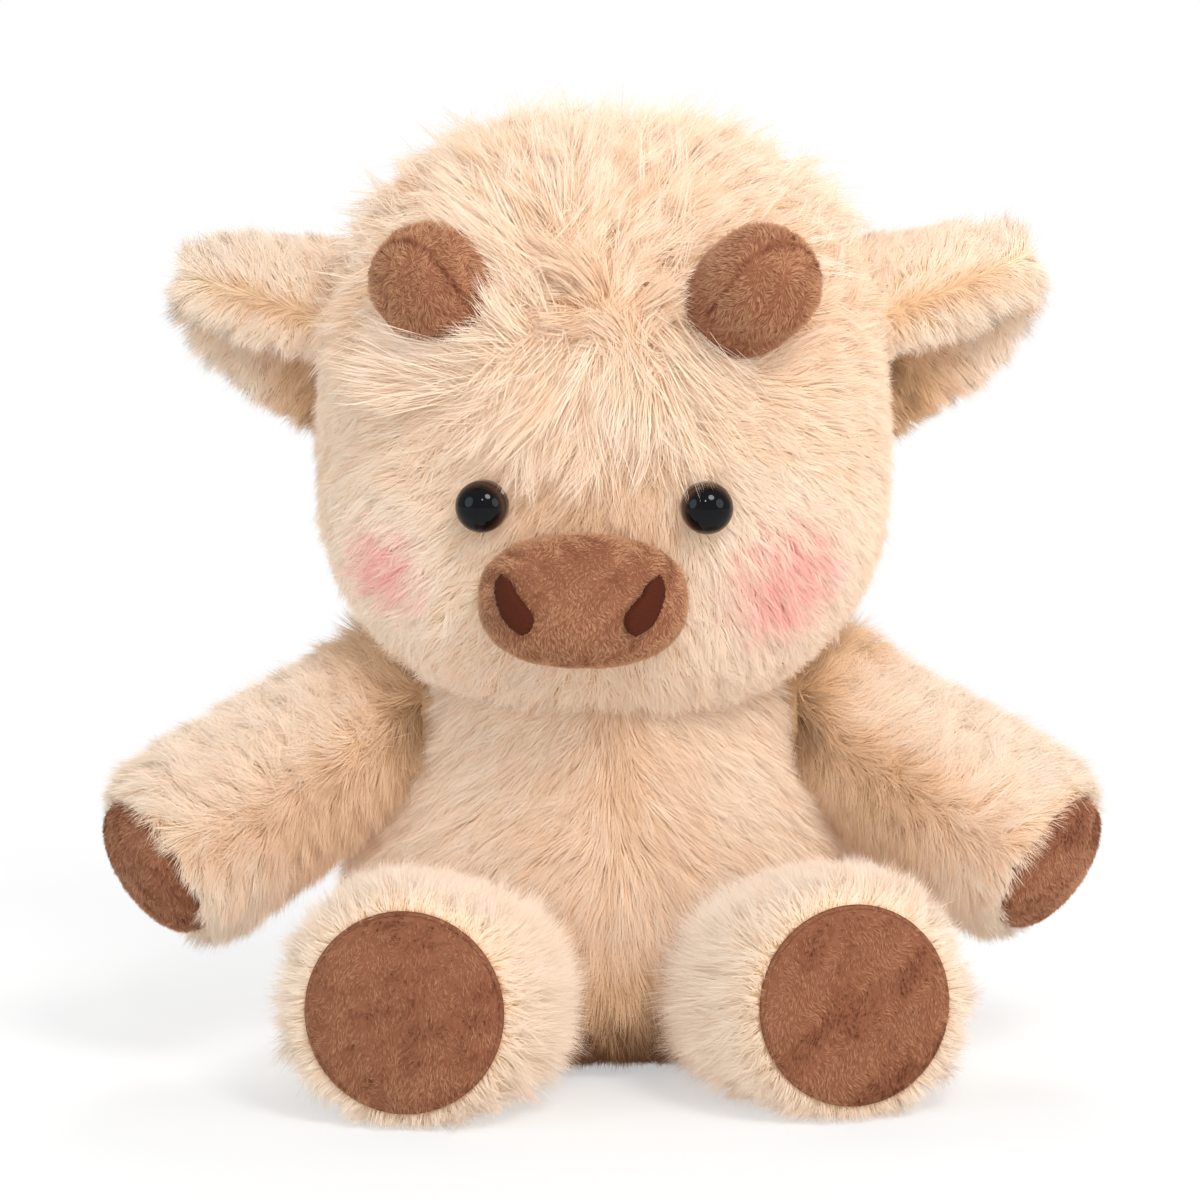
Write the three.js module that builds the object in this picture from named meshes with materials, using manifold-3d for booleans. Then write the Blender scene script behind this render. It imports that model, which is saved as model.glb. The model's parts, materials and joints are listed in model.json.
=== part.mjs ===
// A plush cow sitting upright, with its arms hanging out to the sides and its legs stretched forward.
// Lengths are in millimetres and angles in degrees. +Z is up and the cow faces -Y, so its own left is +X.
// Every fur or plush cover is a shell at the mean height of its pile, round a separate filling.
import * as THREE from "three";
import { mergeVertices } from "three/addons/utils/BufferGeometryUtils.js";
import Module from "manifold-3d";

const wasm = await Module();
wasm.setup();

// Sewing: what all the pieces share.
const seamGap = 0.3; // between pieces that are sewn or seated on each other
const fillGap = 0.9; // between a cover's inside and its coarser filling
const cutOverrun = 20; // how far a cutting solid runs past what it cuts
const blockShare = 4; // a cutting block's width, as a share of the piece it cuts
const furWall = 6; // long-pile cover: backing and pile
const plushWall = 2.5; // short-pile brown cover

const torso = {
  height: 102,
  beltHalfWidth: 68,
  beltHeight: 31,
  baseHalfWidth: 38,
  shoulderHalfWidth: 50,
  shoulderRound: 8,
  topOpening: 20,
  depthShare: 0.74,
};
const pelletPouch = { halfWidth: 36, halfDepth: 24, rise: 13, drop: 9, squareness: 2.4 };

const neck = { radius: 29, pivotBelowTop: 6, footDepth: 14 };
const neckPivotHeight = torso.height - neck.pivotBelowTop;
const neckMoves = { turn: 15, nod: 8 };

const head = { halfWidth: 72, halfDepth: 60, rise: 84, drop: 64, squareness: 2.8, taperShare: 0.22 };
const headWidestAbovePivot = 50;
const headTurn = -7.5; // the head looks a little to the cow's right
const neckBowl = { sideClearance: 3.5, depthClearance: 9, height: 13 };
const neckPlay = 0.7; // between the neck's ball and the head's socket

const forelock = { pile: 3.5, halfWidth: 50, halfDepth: 60, rise: 50, drop: 66, squareness: 2.2 };
const forelockPlace = { forward: 16, aboveWidest: 58, tilt: 24 };

const muzzle = { halfWidth: 26, halfDepth: 17, rise: 16.7, drop: 17.3, squareness: 2.4 };
const muzzlePlace = { belowWidest: 25, aside: -1.7 };
const nostril = { width: 7.5, height: 13.5, stitch: 0.8, spread: 15, aboveMiddle: 0.5, lean: -17 };
const nostrilShares = { footSide: 0.9, footLow: 1.15, shoulder: 0.5, heel: 0.25 };

const eye = { radius: 6.2, dome: 5.2, rim: 1.2, stemRadius: 1.6, stemLength: 15 };
const eyePlace = { spread: 26.5, belowWidest: 3 };
const eyeWasher = { radius: 8, thickness: 1.6 };

const horn = { radius: 14.8, tipRound: 12.5, length: 34, swell: 0.8 };
const hornPlace = { spread: 35, aboveWidest: 46, sunk: 10, outward: 26, upward: 24 };

const ear = {
  length: 58,
  thickness: 12,
  fold: 8.5,
  frontDrop: 25,
  backDrop: 40,
  bluntness: 3.5,
  tipShare: 0.3,
  lastShare: 0.98,
};
const earPlace = { behindMiddle: 4, aboveWidest: 40, sunk: 20 };
const earLift = { left: 11, right: 6 }; // as the toy was left after handling
const earFlap = 18;

const arm = { length: 77, rootRadius: 22, swellRadius: 25, faceRadius: 21, endRound: 7 };
const armPlace = { belowTop: 14, droop: 28 };
const armForward = { left: 34, right: 24 };
const armSwing = 35;
const cheekPlane = { across: 10, up: 17, slope: 49, clearance: 5.5 };
const pawPad = { radius: 19, seat: 2, dome: 9 };

const leg = { length: 65, rootRadius: 27.5, swellRadius: 30.5, faceRadius: 26, endRound: 6 };
const legPlace = { spread: 38, forward: 22, up: 21, splay: 13.6, rise: 6 };
const legRoot = 12; // from the hip back to the leg's open end
const legMoves = { down: 10, up: 20 };
const legSocketClearance = 0.4;
const legWidestShare = 0.75;
const solePad = { radius: 24, seat: 2.5, dome: 4.5 };

const tail = { radius: 4.6, reach: 26, rootHeight: 26, tipHeight: 12 };
const tailTuft = { halfWidth: 8.5, halfDepth: 12, rise: 8, drop: 8, squareness: 2.1 };
const tailRootTuck = 3;
const tailSwing = 20;

// Mesh fineness, as counts.
const ballRings = 12;
const ballSpokes = 24;
const limbSpokes = 16;
const coarseRings = 8;
const coarseSpokes = 14;
const pocketSpokes = 12;
const curveSteps = 4;
const cornerSteps = 3;
const domeSteps = 6;
const muzzleRings = 10;
const muzzleSpokes = 20;
const earStations = 10;
const swingSteps = 2;
const probeStep = 1; // between the places that a surface's slope is read from, in millimetres

const radians = THREE.MathUtils.degToRad;

// A closed geometry as a solid that can be cut and joined.
function solidOf(geometry) {
  const bare = geometry.index ? geometry.toNonIndexed() : geometry.clone();
  bare.deleteAttribute("normal");
  bare.deleteAttribute("uv");
  const merged = mergeVertices(bare, 1e-4);
  const corners = merged.index.array;
  const kept = [];
  for (let i = 0; i < corners.length; i += 3) {
    const [a, b, c] = corners.subarray(i, i + 3);
    if (a !== b && b !== c && c !== a) kept.push(a, b, c);
  }
  const mesh = new wasm.Mesh({
    numProp: 3,
    vertProperties: new Float32Array(merged.attributes.position.array),
    triVerts: new Uint32Array(kept),
  });
  return new wasm.Manifold(mesh);
}

function geometryOf(solid) {
  const mesh = solid.getMesh();
  const geometry = new THREE.BufferGeometry();
  geometry.setAttribute("position", new THREE.BufferAttribute(new Float32Array(mesh.vertProperties), 3));
  geometry.setIndex(new THREE.BufferAttribute(new Uint32Array(mesh.triVerts), 1));
  geometry.computeVertexNormals();
  return geometry;
}

function moved(solid, matrix) {
  return solid.transform(matrix.elements);
}

function shifted(solid, x, y, z) {
  return solid.translate([x, y, z]);
}

function mirrored(solid) {
  return solid.mirror([1, 0, 0]);
}

// The space that a solid takes while it turns both ways about a pivot, in a number of steps each way.
function swung(solid, pivot, turns, steps) {
  const placed = shifted(solid, -pivot.x, -pivot.y, -pivot.z);
  const shares = Array.from({ length: 2 * steps + 1 }, (_, i) => (i - steps) / steps);
  const turned = shares.map((share) => placed.rotate(turns.map((turn) => turn * share)));
  return shifted(wasm.Manifold.union(turned), pivot.x, pivot.y, pivot.z);
}

// How much narrower a lump is at a height below its widest level.
function narrowed(sizes, heightShare) {
  return 1 - (sizes.taperShare ?? 0) * Math.min(heightShare, 0) ** 2;
}

// A stuffed lump: a ball with half sizes of its own across, fore and aft, above and below its widest level.
function lump(sizes, grow = 0, rings = ballRings, spokes = ballSpokes) {
  const geometry = new THREE.SphereGeometry(1, spokes, rings).rotateX(Math.PI / 2);
  const places = geometry.attributes.position;
  const power = sizes.squareness;
  for (let i = 0; i < places.count; i += 1) {
    const way = new THREE.Vector3().fromBufferAttribute(places, i);
    const tall = (way.z > 0 ? sizes.rise : sizes.drop) + grow;
    const sum =
      Math.abs(way.x / (sizes.halfWidth + grow)) ** power +
      Math.abs(way.y / (sizes.halfDepth + grow)) ** power +
      Math.abs(way.z / tall) ** power;
    way.multiplyScalar(sum ** (-1 / power));
    places.setXYZ(i, way.x * narrowed(sizes, way.z / tall), way.y, way.z);
  }
  return solidOf(geometry);
}

// How far forward a lump's surface lies from its middle, at x across and z up.
function frontOf(sizes, x, z) {
  const tall = z > 0 ? sizes.rise : sizes.drop;
  const power = sizes.squareness;
  const halfWidth = sizes.halfWidth * narrowed(sizes, z / tall);
  const left = 1 - Math.abs(x / halfWidth) ** power - Math.abs(z / tall) ** power;
  return sizes.halfDepth * Math.max(left, 0) ** (1 / power);
}

// A solid of revolution about +Z, from points given as [radius, height] from its bottom to its top.
function spun(points, spokes = limbSpokes) {
  const outline = points.map(([radius, height]) => new THREE.Vector2(Math.max(radius, 0), height));
  return solidOf(new THREE.LatheGeometry(outline, spokes).rotateX(Math.PI / 2));
}

function eased(from, to, share) {
  return from + ((to - from) * (1 - Math.cos(Math.PI * share))) / 2;
}

// A quarter of an ellipse from its side, at height low, to its top.
function quarterRound(innerRadius, low, across, tall, steps = curveSteps) {
  return Array.from({ length: steps + 1 }, (_, i) => {
    const turn = (i / steps) * (Math.PI / 2);
    return [innerRadius + across * Math.cos(turn), low + tall * Math.sin(turn)];
  });
}

// The torso and the neck

// The torso's outline, from its flat base up to its shoulders, drawn in by inset.
function torsoOutline(inset) {
  const points = [];
  const base = torso.baseHalfWidth - inset;
  const belt = torso.beltHalfWidth - inset;
  const shoulder = torso.shoulderHalfWidth - inset;
  const shoulderLow = torso.height - torso.shoulderRound;
  for (let i = 0; i <= curveSteps; i += 1) {
    const turn = (i / curveSteps) * (Math.PI / 2);
    const height = inset + (torso.beltHeight - inset) * (1 - Math.cos(turn));
    points.push([base + (belt - base) * Math.sin(turn), height]);
  }
  for (let i = 1; i < curveSteps; i += 1) {
    const share = i / curveSteps;
    points.push([eased(belt, shoulder, share), torso.beltHeight + (shoulderLow - torso.beltHeight) * share]);
  }
  const round = torso.shoulderRound;
  return [...points, ...quarterRound(shoulder - round, shoulderLow, round, round - inset, cornerSteps)];
}

function torsoShaped(points, spokes = ballSpokes) {
  return spun(points, spokes).scale([1, torso.depthShare, 1]);
}

function torsoForm(inset, spokes) {
  return torsoShaped([[0, inset], ...torsoOutline(inset), [0, torso.height - inset]], spokes);
}

function neckForm(grow) {
  const arc = Array.from({ length: 2 * curveSteps + 1 }, (_, i) => {
    const low = Math.asin(-neck.footDepth / neck.radius);
    const turn = low + (i / (2 * curveSteps)) * (Math.PI / 2 - low);
    return [(neck.radius + grow) * Math.cos(turn), (neck.radius + grow) * Math.sin(turn)];
  });
  const foot = [arc[0][0], -neck.footDepth - grow];
  return spun([[0, foot[1]], foot, ...arc.slice(1, -1), [0, neck.radius + grow]], ballSpokes);
}

// Limbs: open at the root, with a pad let into the far end

function limbSide(limb, root, inset) {
  const points = [];
  const far = limb.length - limb.endRound - Math.max(inset, 0);
  for (let i = 0; i <= curveSteps; i += 1) {
    const share = i / curveSteps;
    const radius = eased(limb.rootRadius, limb.swellRadius, share) - inset;
    points.push([radius, far * share]);
  }
  if (root > 0) points.unshift([Math.sqrt(limb.rootRadius ** 2 - root ** 2) - inset, -root]);
  else points.unshift([limb.rootRadius - inset, root]);
  return points;
}

function limbEnd(limb, inset) {
  const far = limb.length - limb.endRound;
  const across = limb.swellRadius - limb.faceRadius;
  return quarterRound(limb.faceRadius - inset, far, across, limb.endRound - inset, cornerSteps).slice(1);
}

function limbForm(limb, root, grow, spokes = limbSpokes) {
  const side = limbSide(limb, root, -grow);
  const start = [side[0][0], side[0][1] - grow];
  const end = [0, limb.length + grow];
  return spun([[0, start[1]], start, ...side.slice(1), ...limbEnd(limb, -grow), end], spokes);
}

function limbCover(limb, root, pad) {
  const floor = limb.length - pad.seat;
  const seat = pad.radius + seamGap;
  const inner = [...limbSide(limb, root, furWall), [limb.faceRadius - furWall, floor - furWall]];
  return spun([
    [0, floor - furWall],
    ...inner.reverse(),
    ...limbSide(limb, root, 0),
    ...limbEnd(limb, 0),
    [seat, limb.length],
    [seat, floor],
    [0, floor],
  ]);
}

function limbFilling(limb, root, pad) {
  const inset = furWall + fillGap;
  const top = limb.length - pad.seat - inset;
  const side = limbSide(limb, root, inset);
  return spun([[0, side[0][1]], ...side, [limb.faceRadius - inset, top], [0, top]], coarseSpokes);
}

// A pad with a domed face, standing in its seat at the limb's end.
function limbPad(limb, pad) {
  const foot = limb.length - pad.seat + seamGap;
  const face = quarterRound(0, limb.length, pad.radius, pad.dome, domeSteps);
  return spun([[0, foot], [pad.radius, foot], ...face]);
}

// Where the limbs are

const forward = new THREE.Vector3(0, -1, 0);
const outward = new THREE.Vector3(1, 0, 0);

// A frame at a place whose +Z points along a direction.
function aimed(place, direction) {
  const way = direction.clone().normalize();
  const turn = new THREE.Quaternion().setFromUnitVectors(new THREE.Vector3(0, 0, 1), way);
  return new THREE.Matrix4().compose(place, turn, new THREE.Vector3(1, 1, 1));
}

const shoulderHeight = torso.height - armPlace.belowTop;
const shoulder = new THREE.Vector3(torso.shoulderHalfWidth, 0, shoulderHeight);
const armWay = (forwardTurn) =>
  outward
    .clone()
    .applyAxisAngle(new THREE.Vector3(0, 1, 0), radians(armPlace.droop))
    .applyAxisAngle(new THREE.Vector3(0, 0, 1), radians(-forwardTurn));
const hip = new THREE.Vector3(legPlace.spread, -legPlace.forward, legPlace.up);
const legWay = forward
  .clone()
  .applyAxisAngle(outward, radians(-legPlace.rise))
  .applyAxisAngle(new THREE.Vector3(0, 0, 1), radians(legPlace.splay));

// What is cut out of the torso

// A broad block with the middle of its underside at the origin.
function blockOver(size) {
  const wide = blockShare * size;
  return solidOf(new THREE.BoxGeometry(wide, wide, size).translate(0, 0, size / 2));
}

const floorCut = shifted(blockOver(torso.height), 0, 0, -torso.height);
const legAtHip = aimed(hip, legWay);

// All the space that a leg's root takes as it swings up and down at the hip.
function legSweep(clearance) {
  const flatToRound = 1 / Math.cos(Math.PI / pocketSpokes);
  const low = -legRoot - clearance;
  const narrow = (Math.sqrt(leg.rootRadius ** 2 - legRoot ** 2) + clearance) * flatToRound;
  const middle = (leg.rootRadius + clearance) * flatToRound;
  const wide = (leg.swellRadius + clearance) * flatToRound;
  const far = leg.length * legWidestShare;
  const outline = [[0, low], [narrow, low], [middle, 0], [wide, far], [0, far]];
  const form = shifted(moved(spun(outline, pocketSpokes), legAtHip), 0, -hip.y, -hip.z);
  const steps = [-legMoves.down, 0, legMoves.up / 2, legMoves.up];
  const turned = steps.map((angle) => shifted(form.rotate([-angle, 0, 0]), 0, hip.y, hip.z));
  return wasm.Manifold.union(turned);
}

const neckAtTorso = (grow) => shifted(neckForm(grow), 0, 0, neckPivotHeight);
const bothSides = (solid) => wasm.Manifold.union([solid, mirrored(solid)]);

const torsoVessel = torsoShaped([
  [0, furWall],
  ...torsoOutline(furWall),
  [torso.topOpening, torso.height - furWall],
  [torso.topOpening, torso.height],
  ...torsoOutline(0).reverse(),
  [0, 0],
].reverse());
const torsoCover = torsoVessel
  .subtract(neckAtTorso(seamGap))
  .subtract(bothSides(legSweep(legSocketClearance)));

const pouchMiddle = furWall + fillGap + pelletPouch.drop;
const pouchForm = (grow) => shifted(lump(pelletPouch, grow, coarseRings, coarseSpokes), 0, 0, pouchMiddle);
const legPocket = bothSides(legSweep(legSocketClearance + seamGap));
const torsoFilling = torsoForm(furWall + fillGap, coarseSpokes)
  .subtract(neckAtTorso(seamGap))
  .subtract(legPocket)
  .subtract(pouchForm(seamGap));
const pouch = pouchForm(0).subtract(legPocket);

// The head, in a frame whose origin is the neck's pivot

const headMiddle = headWidestAbovePivot;
const headForm = (grow, rings, spokes) => shifted(lump(head, grow, rings, spokes), 0, 0, headMiddle);

// The hollow under the head that the torso's top turns and nods in.
function neckBowlForm(grow) {
  const halfWidth = torso.shoulderHalfWidth + neckBowl.sideClearance + grow;
  const halfDepth = torso.shoulderHalfWidth * torso.depthShare + neckBowl.depthClearance + grow;
  const top = neckBowl.height + grow;
  const foot = headMiddle - head.drop - cutOverrun;
  const corner = torso.shoulderRound;
  const rounded = quarterRound(halfWidth - corner, top - corner, corner, corner, cornerSteps);
  return spun([[0, foot], [halfWidth, foot], ...rounded, [0, top]]).scale([1, halfDepth / halfWidth, 1]);
}

const faceAt = (x, z) => new THREE.Vector3(x, -frontOf(head, x, z), headMiddle + z);

// The way out of the head's surface at a place on its front.
function faceNormal(x, z) {
  const across = faceAt(x + probeStep, z).sub(faceAt(x - probeStep, z));
  const up = faceAt(x, z + probeStep).sub(faceAt(x, z - probeStep));
  return across.cross(up).normalize();
}

const eyeWay = faceNormal(eyePlace.spread, -eyePlace.belowWidest);
const eyeFrame = aimed(faceAt(eyePlace.spread, -eyePlace.belowWidest), eyeWay);
const eyeForm = moved(
  spun(
    [
      [0, -eye.stemLength],
      [eye.stemRadius, -eye.stemLength],
      [eye.stemRadius, seamGap],
      [eye.radius, seamGap],
      ...quarterRound(0, eye.rim, eye.radius, eye.dome),
    ],
    coarseSpokes,
  ),
  eyeFrame,
);
const washerTop = -furWall - seamGap;
const washerForm = moved(
  spun(
    [
      [eye.stemRadius + seamGap, washerTop],
      [eye.stemRadius + seamGap, washerTop - eyeWasher.thickness],
      [eyeWasher.radius, washerTop - eyeWasher.thickness],
      [eyeWasher.radius, washerTop],
      [eye.stemRadius + seamGap, washerTop],
    ],
    coarseSpokes,
  ),
  eyeFrame,
);

// A drilled space along the eye's stem, up to a given height.
function eyeDrill(radius, top) {
  const depth = eye.stemLength + seamGap;
  return moved(spun([[0, -depth], [radius, -depth], [radius, top], [0, top]], coarseSpokes), eyeFrame);
}

const washerPocket = eyeDrill(eyeWasher.radius + seamGap, washerTop + seamGap);
const stemHole = eyeDrill(eye.stemRadius + seamGap, cutOverrun);
const neckInHead = neckForm(neckPlay);

const headCavity = headForm(-furWall, coarseRings, coarseSpokes).subtract(neckBowlForm(furWall));
const neckHollow = neckBowlForm(0).add(neckInHead);
const headCover = headForm(0)
  .subtract(headCavity)
  .subtract(neckHollow)
  .subtract(bothSides(stemHole.add(washerPocket)));
const headFilling = headForm(-furWall - seamGap, coarseRings, coarseSpokes)
  .subtract(neckBowlForm(furWall + seamGap))
  .subtract(neckInHead)
  .subtract(bothSides(washerPocket.add(stemHole)));

// The horns, the forelock and the muzzle

const hornWay = forward
  .clone()
  .applyAxisAngle(outward, radians(-hornPlace.upward))
  .applyAxisAngle(new THREE.Vector3(0, 0, 1), radians(hornPlace.outward));
const hornRoot = faceAt(hornPlace.spread, hornPlace.aboveWidest).addScaledVector(hornWay, -hornPlace.sunk);
const hornFrame = aimed(hornRoot, hornWay);

function hornForm(grow) {
  const radius = horn.radius + grow;
  const low = horn.length - horn.tipRound;
  const dome = quarterRound(0, low, radius, horn.tipRound + grow);
  return moved(spun([[0, -grow], [radius - horn.swell, -grow], ...dome], coarseSpokes), hornFrame);
}

const hornCover = hornForm(0).subtract(hornForm(-plushWall)).subtract(headForm(seamGap));
const hornFilling = hornForm(-plushWall - seamGap).subtract(headForm(seamGap));

const forelockPanel = shifted(
  lump(forelock, 0, coarseRings, coarseSpokes).rotate([forelockPlace.tilt, 0, 0]),
  0,
  -forelockPlace.forward,
  headMiddle + forelockPlace.aboveWidest,
);
const forelockSolid = headForm(forelock.pile)
  .intersect(forelockPanel)
  .subtract(headForm(seamGap))
  .subtract(bothSides(hornForm(seamGap)));

const muzzleMiddle = faceAt(0, -muzzlePlace.belowWidest);
function muzzleForm(grow) {
  return shifted(lump(muzzle, grow, muzzleRings, muzzleSpokes), ...muzzleMiddle.toArray());
}
const headAtMuzzle = shifted(headForm(seamGap), -muzzlePlace.aside, 0, 0);
const muzzleCover = muzzleForm(0).subtract(muzzleForm(-plushWall)).subtract(headAtMuzzle);
const muzzleFilling = muzzleForm(-plushWall - seamGap).subtract(headAtMuzzle);

// A satin-stitched nostril: a drop with its point up, raised a little over the muzzle.
function nostrilForm() {
  const wide = nostril.width / 2;
  const tall = nostril.height / 2;
  const { footSide, footLow, shoulder, heel } = nostrilShares;
  const outline = new THREE.Shape();
  outline.moveTo(0, tall);
  outline.bezierCurveTo(wide, tall * shoulder, wide, -tall * heel, wide * footSide, -tall * shoulder);
  const foot = -tall * footLow;
  outline.bezierCurveTo(wide * shoulder, foot, -wide * footSide, foot, -wide, -tall * shoulder);
  outline.bezierCurveTo(-wide, 0, -wide * shoulder, tall * heel, 0, tall);
  const depth = muzzle.halfDepth + cutOverrun;
  const settings = { depth, bevelEnabled: false, curveSegments: curveSteps };
  const geometry = new THREE.ExtrudeGeometry(outline, settings);
  geometry.rotateZ(radians(nostril.lean)).rotateX(Math.PI / 2);
  const place = [nostril.spread, muzzleMiddle.y, muzzleMiddle.z + nostril.aboveMiddle];
  const skin = muzzleForm(nostril.stitch + seamGap).subtract(muzzleForm(seamGap));
  return shifted(solidOf(geometry), ...place).intersect(skin);
}

// The ears: each a thick leaf folded over, with its open side down

function earSection(share) {
  const spread = Math.sqrt(1 - share ** ear.bluntness);
  const swell = ear.tipShare + (1 - ear.tipShare) * spread;
  const half = (ear.thickness / 2) * swell;
  const fold = ear.fold * swell;
  const front = (ear.frontDrop - ear.thickness / 2) * spread;
  const back = (ear.backDrop * (1 - share) + ear.frontDrop * share - ear.thickness / 2) * spread;
  const outer = fold + half;
  const inner = fold - half;
  const points = [];
  const arc = (middle, radius, from, to, steps, drop) => {
    for (let i = 0; i <= steps; i += 1) {
      const turn = from + ((to - from) * i) / steps;
      points.push([middle + radius * Math.cos(turn), radius * Math.sin(turn) - drop]);
    }
  };
  arc(0, outer, 0, Math.PI, domeSteps, 0);
  const lipRadius = (outer - inner) / 2;
  const lipMiddle = (outer + inner) / 2;
  arc(-lipMiddle, lipRadius, Math.PI, 2 * Math.PI, cornerSteps, front);
  arc(0, inner, Math.PI, 0, curveSteps, 0);
  arc(lipMiddle, lipRadius, Math.PI, 2 * Math.PI, cornerSteps, back);
  return points;
}

function earForm() {
  const corners = [];
  for (let i = 0; i <= earStations; i += 1) {
    const share = (ear.lastShare * i) / earStations;
    corners.push(earSection(share).map(([aft, up]) => new THREE.Vector3(ear.length * share, aft, up)));
  }
  const places = [];
  const face = (a, b, c) => places.push(...a.toArray(), ...b.toArray(), ...c.toArray());
  const round = corners[0].length;
  const shapes = corners.map((loop) => loop.map((corner) => new THREE.Vector2(corner.y, corner.z)));
  for (let i = 0; i < earStations; i += 1) {
    for (let j = 0; j < round; j += 1) {
      const k = (j + 1) % round;
      face(corners[i][j], corners[i][k], corners[i + 1][k]);
      face(corners[i][j], corners[i + 1][k], corners[i + 1][j]);
    }
  }
  const cap = (loop, shape, flip) => {
    THREE.ShapeUtils.triangulateShape(shape, []).forEach(([a, b, c]) => {
      if (flip) face(loop[a], loop[c], loop[b]);
      else face(loop[a], loop[b], loop[c]);
    });
  };
  cap(corners[0], shapes[0], true);
  cap(corners[earStations], shapes[earStations], false);
  const geometry = new THREE.BufferGeometry();
  geometry.setAttribute("position", new THREE.BufferAttribute(new Float32Array(places), 3));
  return solidOf(geometry);
}

const earHeightShare = earPlace.aboveWidest / head.rise;
const earRoot = new THREE.Vector3(
  head.halfWidth * (1 - earHeightShare ** head.squareness) ** (1 / head.squareness),
  earPlace.behindMiddle,
  headMiddle + earPlace.aboveWidest,
);
const earSpace = swung(headForm(seamGap), earRoot, [0, 0, earFlap], 1);

function earAt(lift) {
  const raised = earForm().rotate([0, -lift, 0]);
  return shifted(raised, earRoot.x - earPlace.sunk, earRoot.y, earRoot.z).subtract(earSpace);
}

// The arms

// The torso's side as the arm sees it while it swings: turned about the line through both shoulders.
function shoulderSweep() {
  const flank = torsoOutline(0).filter(([, height]) => height > torso.beltHeight - seamGap);
  const above = flank.findIndex(([, height]) => height > shoulderHeight);
  const [[lowRadius, lowHeight], [highRadius, highHeight]] = flank.slice(above - 1);
  const share = (shoulderHeight - lowHeight) / (highHeight - lowHeight);
  const start = lowRadius + (highRadius - lowRadius) * share;
  const below = flank.slice(0, above);
  const profile = below.map(([radius, height]) => [shoulderHeight - height, radius + seamGap]);
  const wide = torso.height;
  const foot = -cutOverrun;
  const far = torso.beltHalfWidth + seamGap;
  const sweep = spun([[0, foot], [wide, foot], [wide, far], ...profile, [0, start + seamGap]], ballSpokes);
  return shifted(sweep.rotate([0, 90, 0]), 0, shoulder.y, shoulder.z);
}

// Everything above a plane that lies against the head's cheek, which the arm's root must keep below.
const cheekSpace = shifted(
  blockOver(arm.length).rotate([0, -cheekPlane.slope, 0]),
  shoulder.x + cheekPlane.across,
  shoulder.y,
  shoulder.z + cheekPlane.up - cheekPlane.clearance,
);
const armCuts = shoulderSweep().add(swung(cheekSpace, shoulder, [armSwing, 0, 0], swingSteps));

function armAt(forwardTurn) {
  const frame = aimed(shoulder, armWay(forwardTurn));
  return {
    cover: moved(limbCover(arm, -armPlace.belowTop, pawPad), frame).subtract(armCuts),
    filling: moved(limbFilling(arm, -armPlace.belowTop, pawPad), frame).subtract(armCuts),
    pad: moved(limbPad(arm, pawPad), frame),
  };
}

const leftArm = armAt(armForward.left);
const rightArm = armAt(armForward.right);

// The legs

const legCover = moved(limbCover(leg, legRoot, solePad), legAtHip).subtract(floorCut);
const legFilling = moved(limbFilling(leg, legRoot, solePad), legAtHip);
const legPad = moved(limbPad(leg, solePad), legAtHip);

// The tail

const torsoBack = torso.beltHalfWidth * torso.depthShare;
const tailRoot = new THREE.Vector3(0, torsoBack - tailRootTuck, tail.rootHeight);
const tailPivot = new THREE.Vector3(0, torsoBack, tail.rootHeight);
const tailEnd = new THREE.Vector3(0, torsoBack + tail.reach, tail.tipHeight);
const tailPath = new THREE.CatmullRomCurve3([
  tailRoot,
  tailRoot.clone().lerp(tailEnd, 0.5).add(new THREE.Vector3(0, 0, tail.radius / 2)),
  tailEnd,
]);
const tailSection = new THREE.Shape().absarc(0, 0, tail.radius, 0, 2 * Math.PI);
const tailSettings = { extrudePath: tailPath, steps: domeSteps, curveSegments: curveSteps };
const tailTube = solidOf(new THREE.ExtrudeGeometry(tailSection, tailSettings));
const tuftForm = (grow) => shifted(lump(tailTuft, grow, coarseRings, coarseSpokes), ...tailEnd.toArray());
const tailCover = tailTube
  .subtract(tuftForm(seamGap))
  .subtract(swung(torsoForm(-seamGap), tailPivot, [0, 0, tailSwing], swingSteps));
const tuft = tuftForm(0).subtract(floorCut);

// The looks and the assembly

const creamFur = { color: 0xf2ddc0, roughness: 0.95, metalness: 0 };
const longFur = { color: 0xf0d4b0, roughness: 0.95, metalness: 0 };
const brownPlush = { color: 0xa4663f, roughness: 0.9, metalness: 0 };
const darkThread = { color: 0x5a2a1c, roughness: 0.8, metalness: 0 };
const blackPlastic = { color: 0x08080a, roughness: 0.08, metalness: 0 };
const washerPlastic = { color: 0xe8e6e0, roughness: 0.5, metalness: 0 };
const fibreFill = { color: 0xf7f6f2, roughness: 1, metalness: 0 };
const pouchCloth = { color: 0xd9d3c6, roughness: 0.9, metalness: 0 };

function piece(name, solid, look) {
  const mesh = new THREE.Mesh(geometryOf(solid), new THREE.MeshStandardMaterial(look));
  mesh.name = name;
  return mesh;
}

// The same piece on the cow's left and, mirrored, on its right, or another one there.
function pair(name, look, solid, other = solid) {
  return [piece(name + "_left", solid, look), piece(name + "_right", mirrored(other), look)];
}

const muzzleGroup = new THREE.Group();
muzzleGroup.add(
  piece("muzzle_cover", muzzleCover, brownPlush),
  piece("muzzle_filling", muzzleFilling, fibreFill),
  ...pair("nostril", darkThread, nostrilForm()),
);
muzzleGroup.position.x = muzzlePlace.aside;

const headGroup = new THREE.Group();
headGroup.add(
  piece("head_cover", headCover, creamFur),
  piece("head_filling", headFilling, fibreFill),
  piece("forelock", forelockSolid, longFur),
  muzzleGroup,
  ...pair("eye", blackPlastic, eyeForm),
  ...pair("eye_washer", washerPlastic, washerForm),
  ...pair("horn_cover", brownPlush, hornCover),
  ...pair("horn_filling", fibreFill, hornFilling),
  ...pair("ear", creamFur, earAt(earLift.left), earAt(earLift.right)),
);
headGroup.position.set(0, 0, neckPivotHeight);
headGroup.rotation.z = radians(headTurn);

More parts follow.
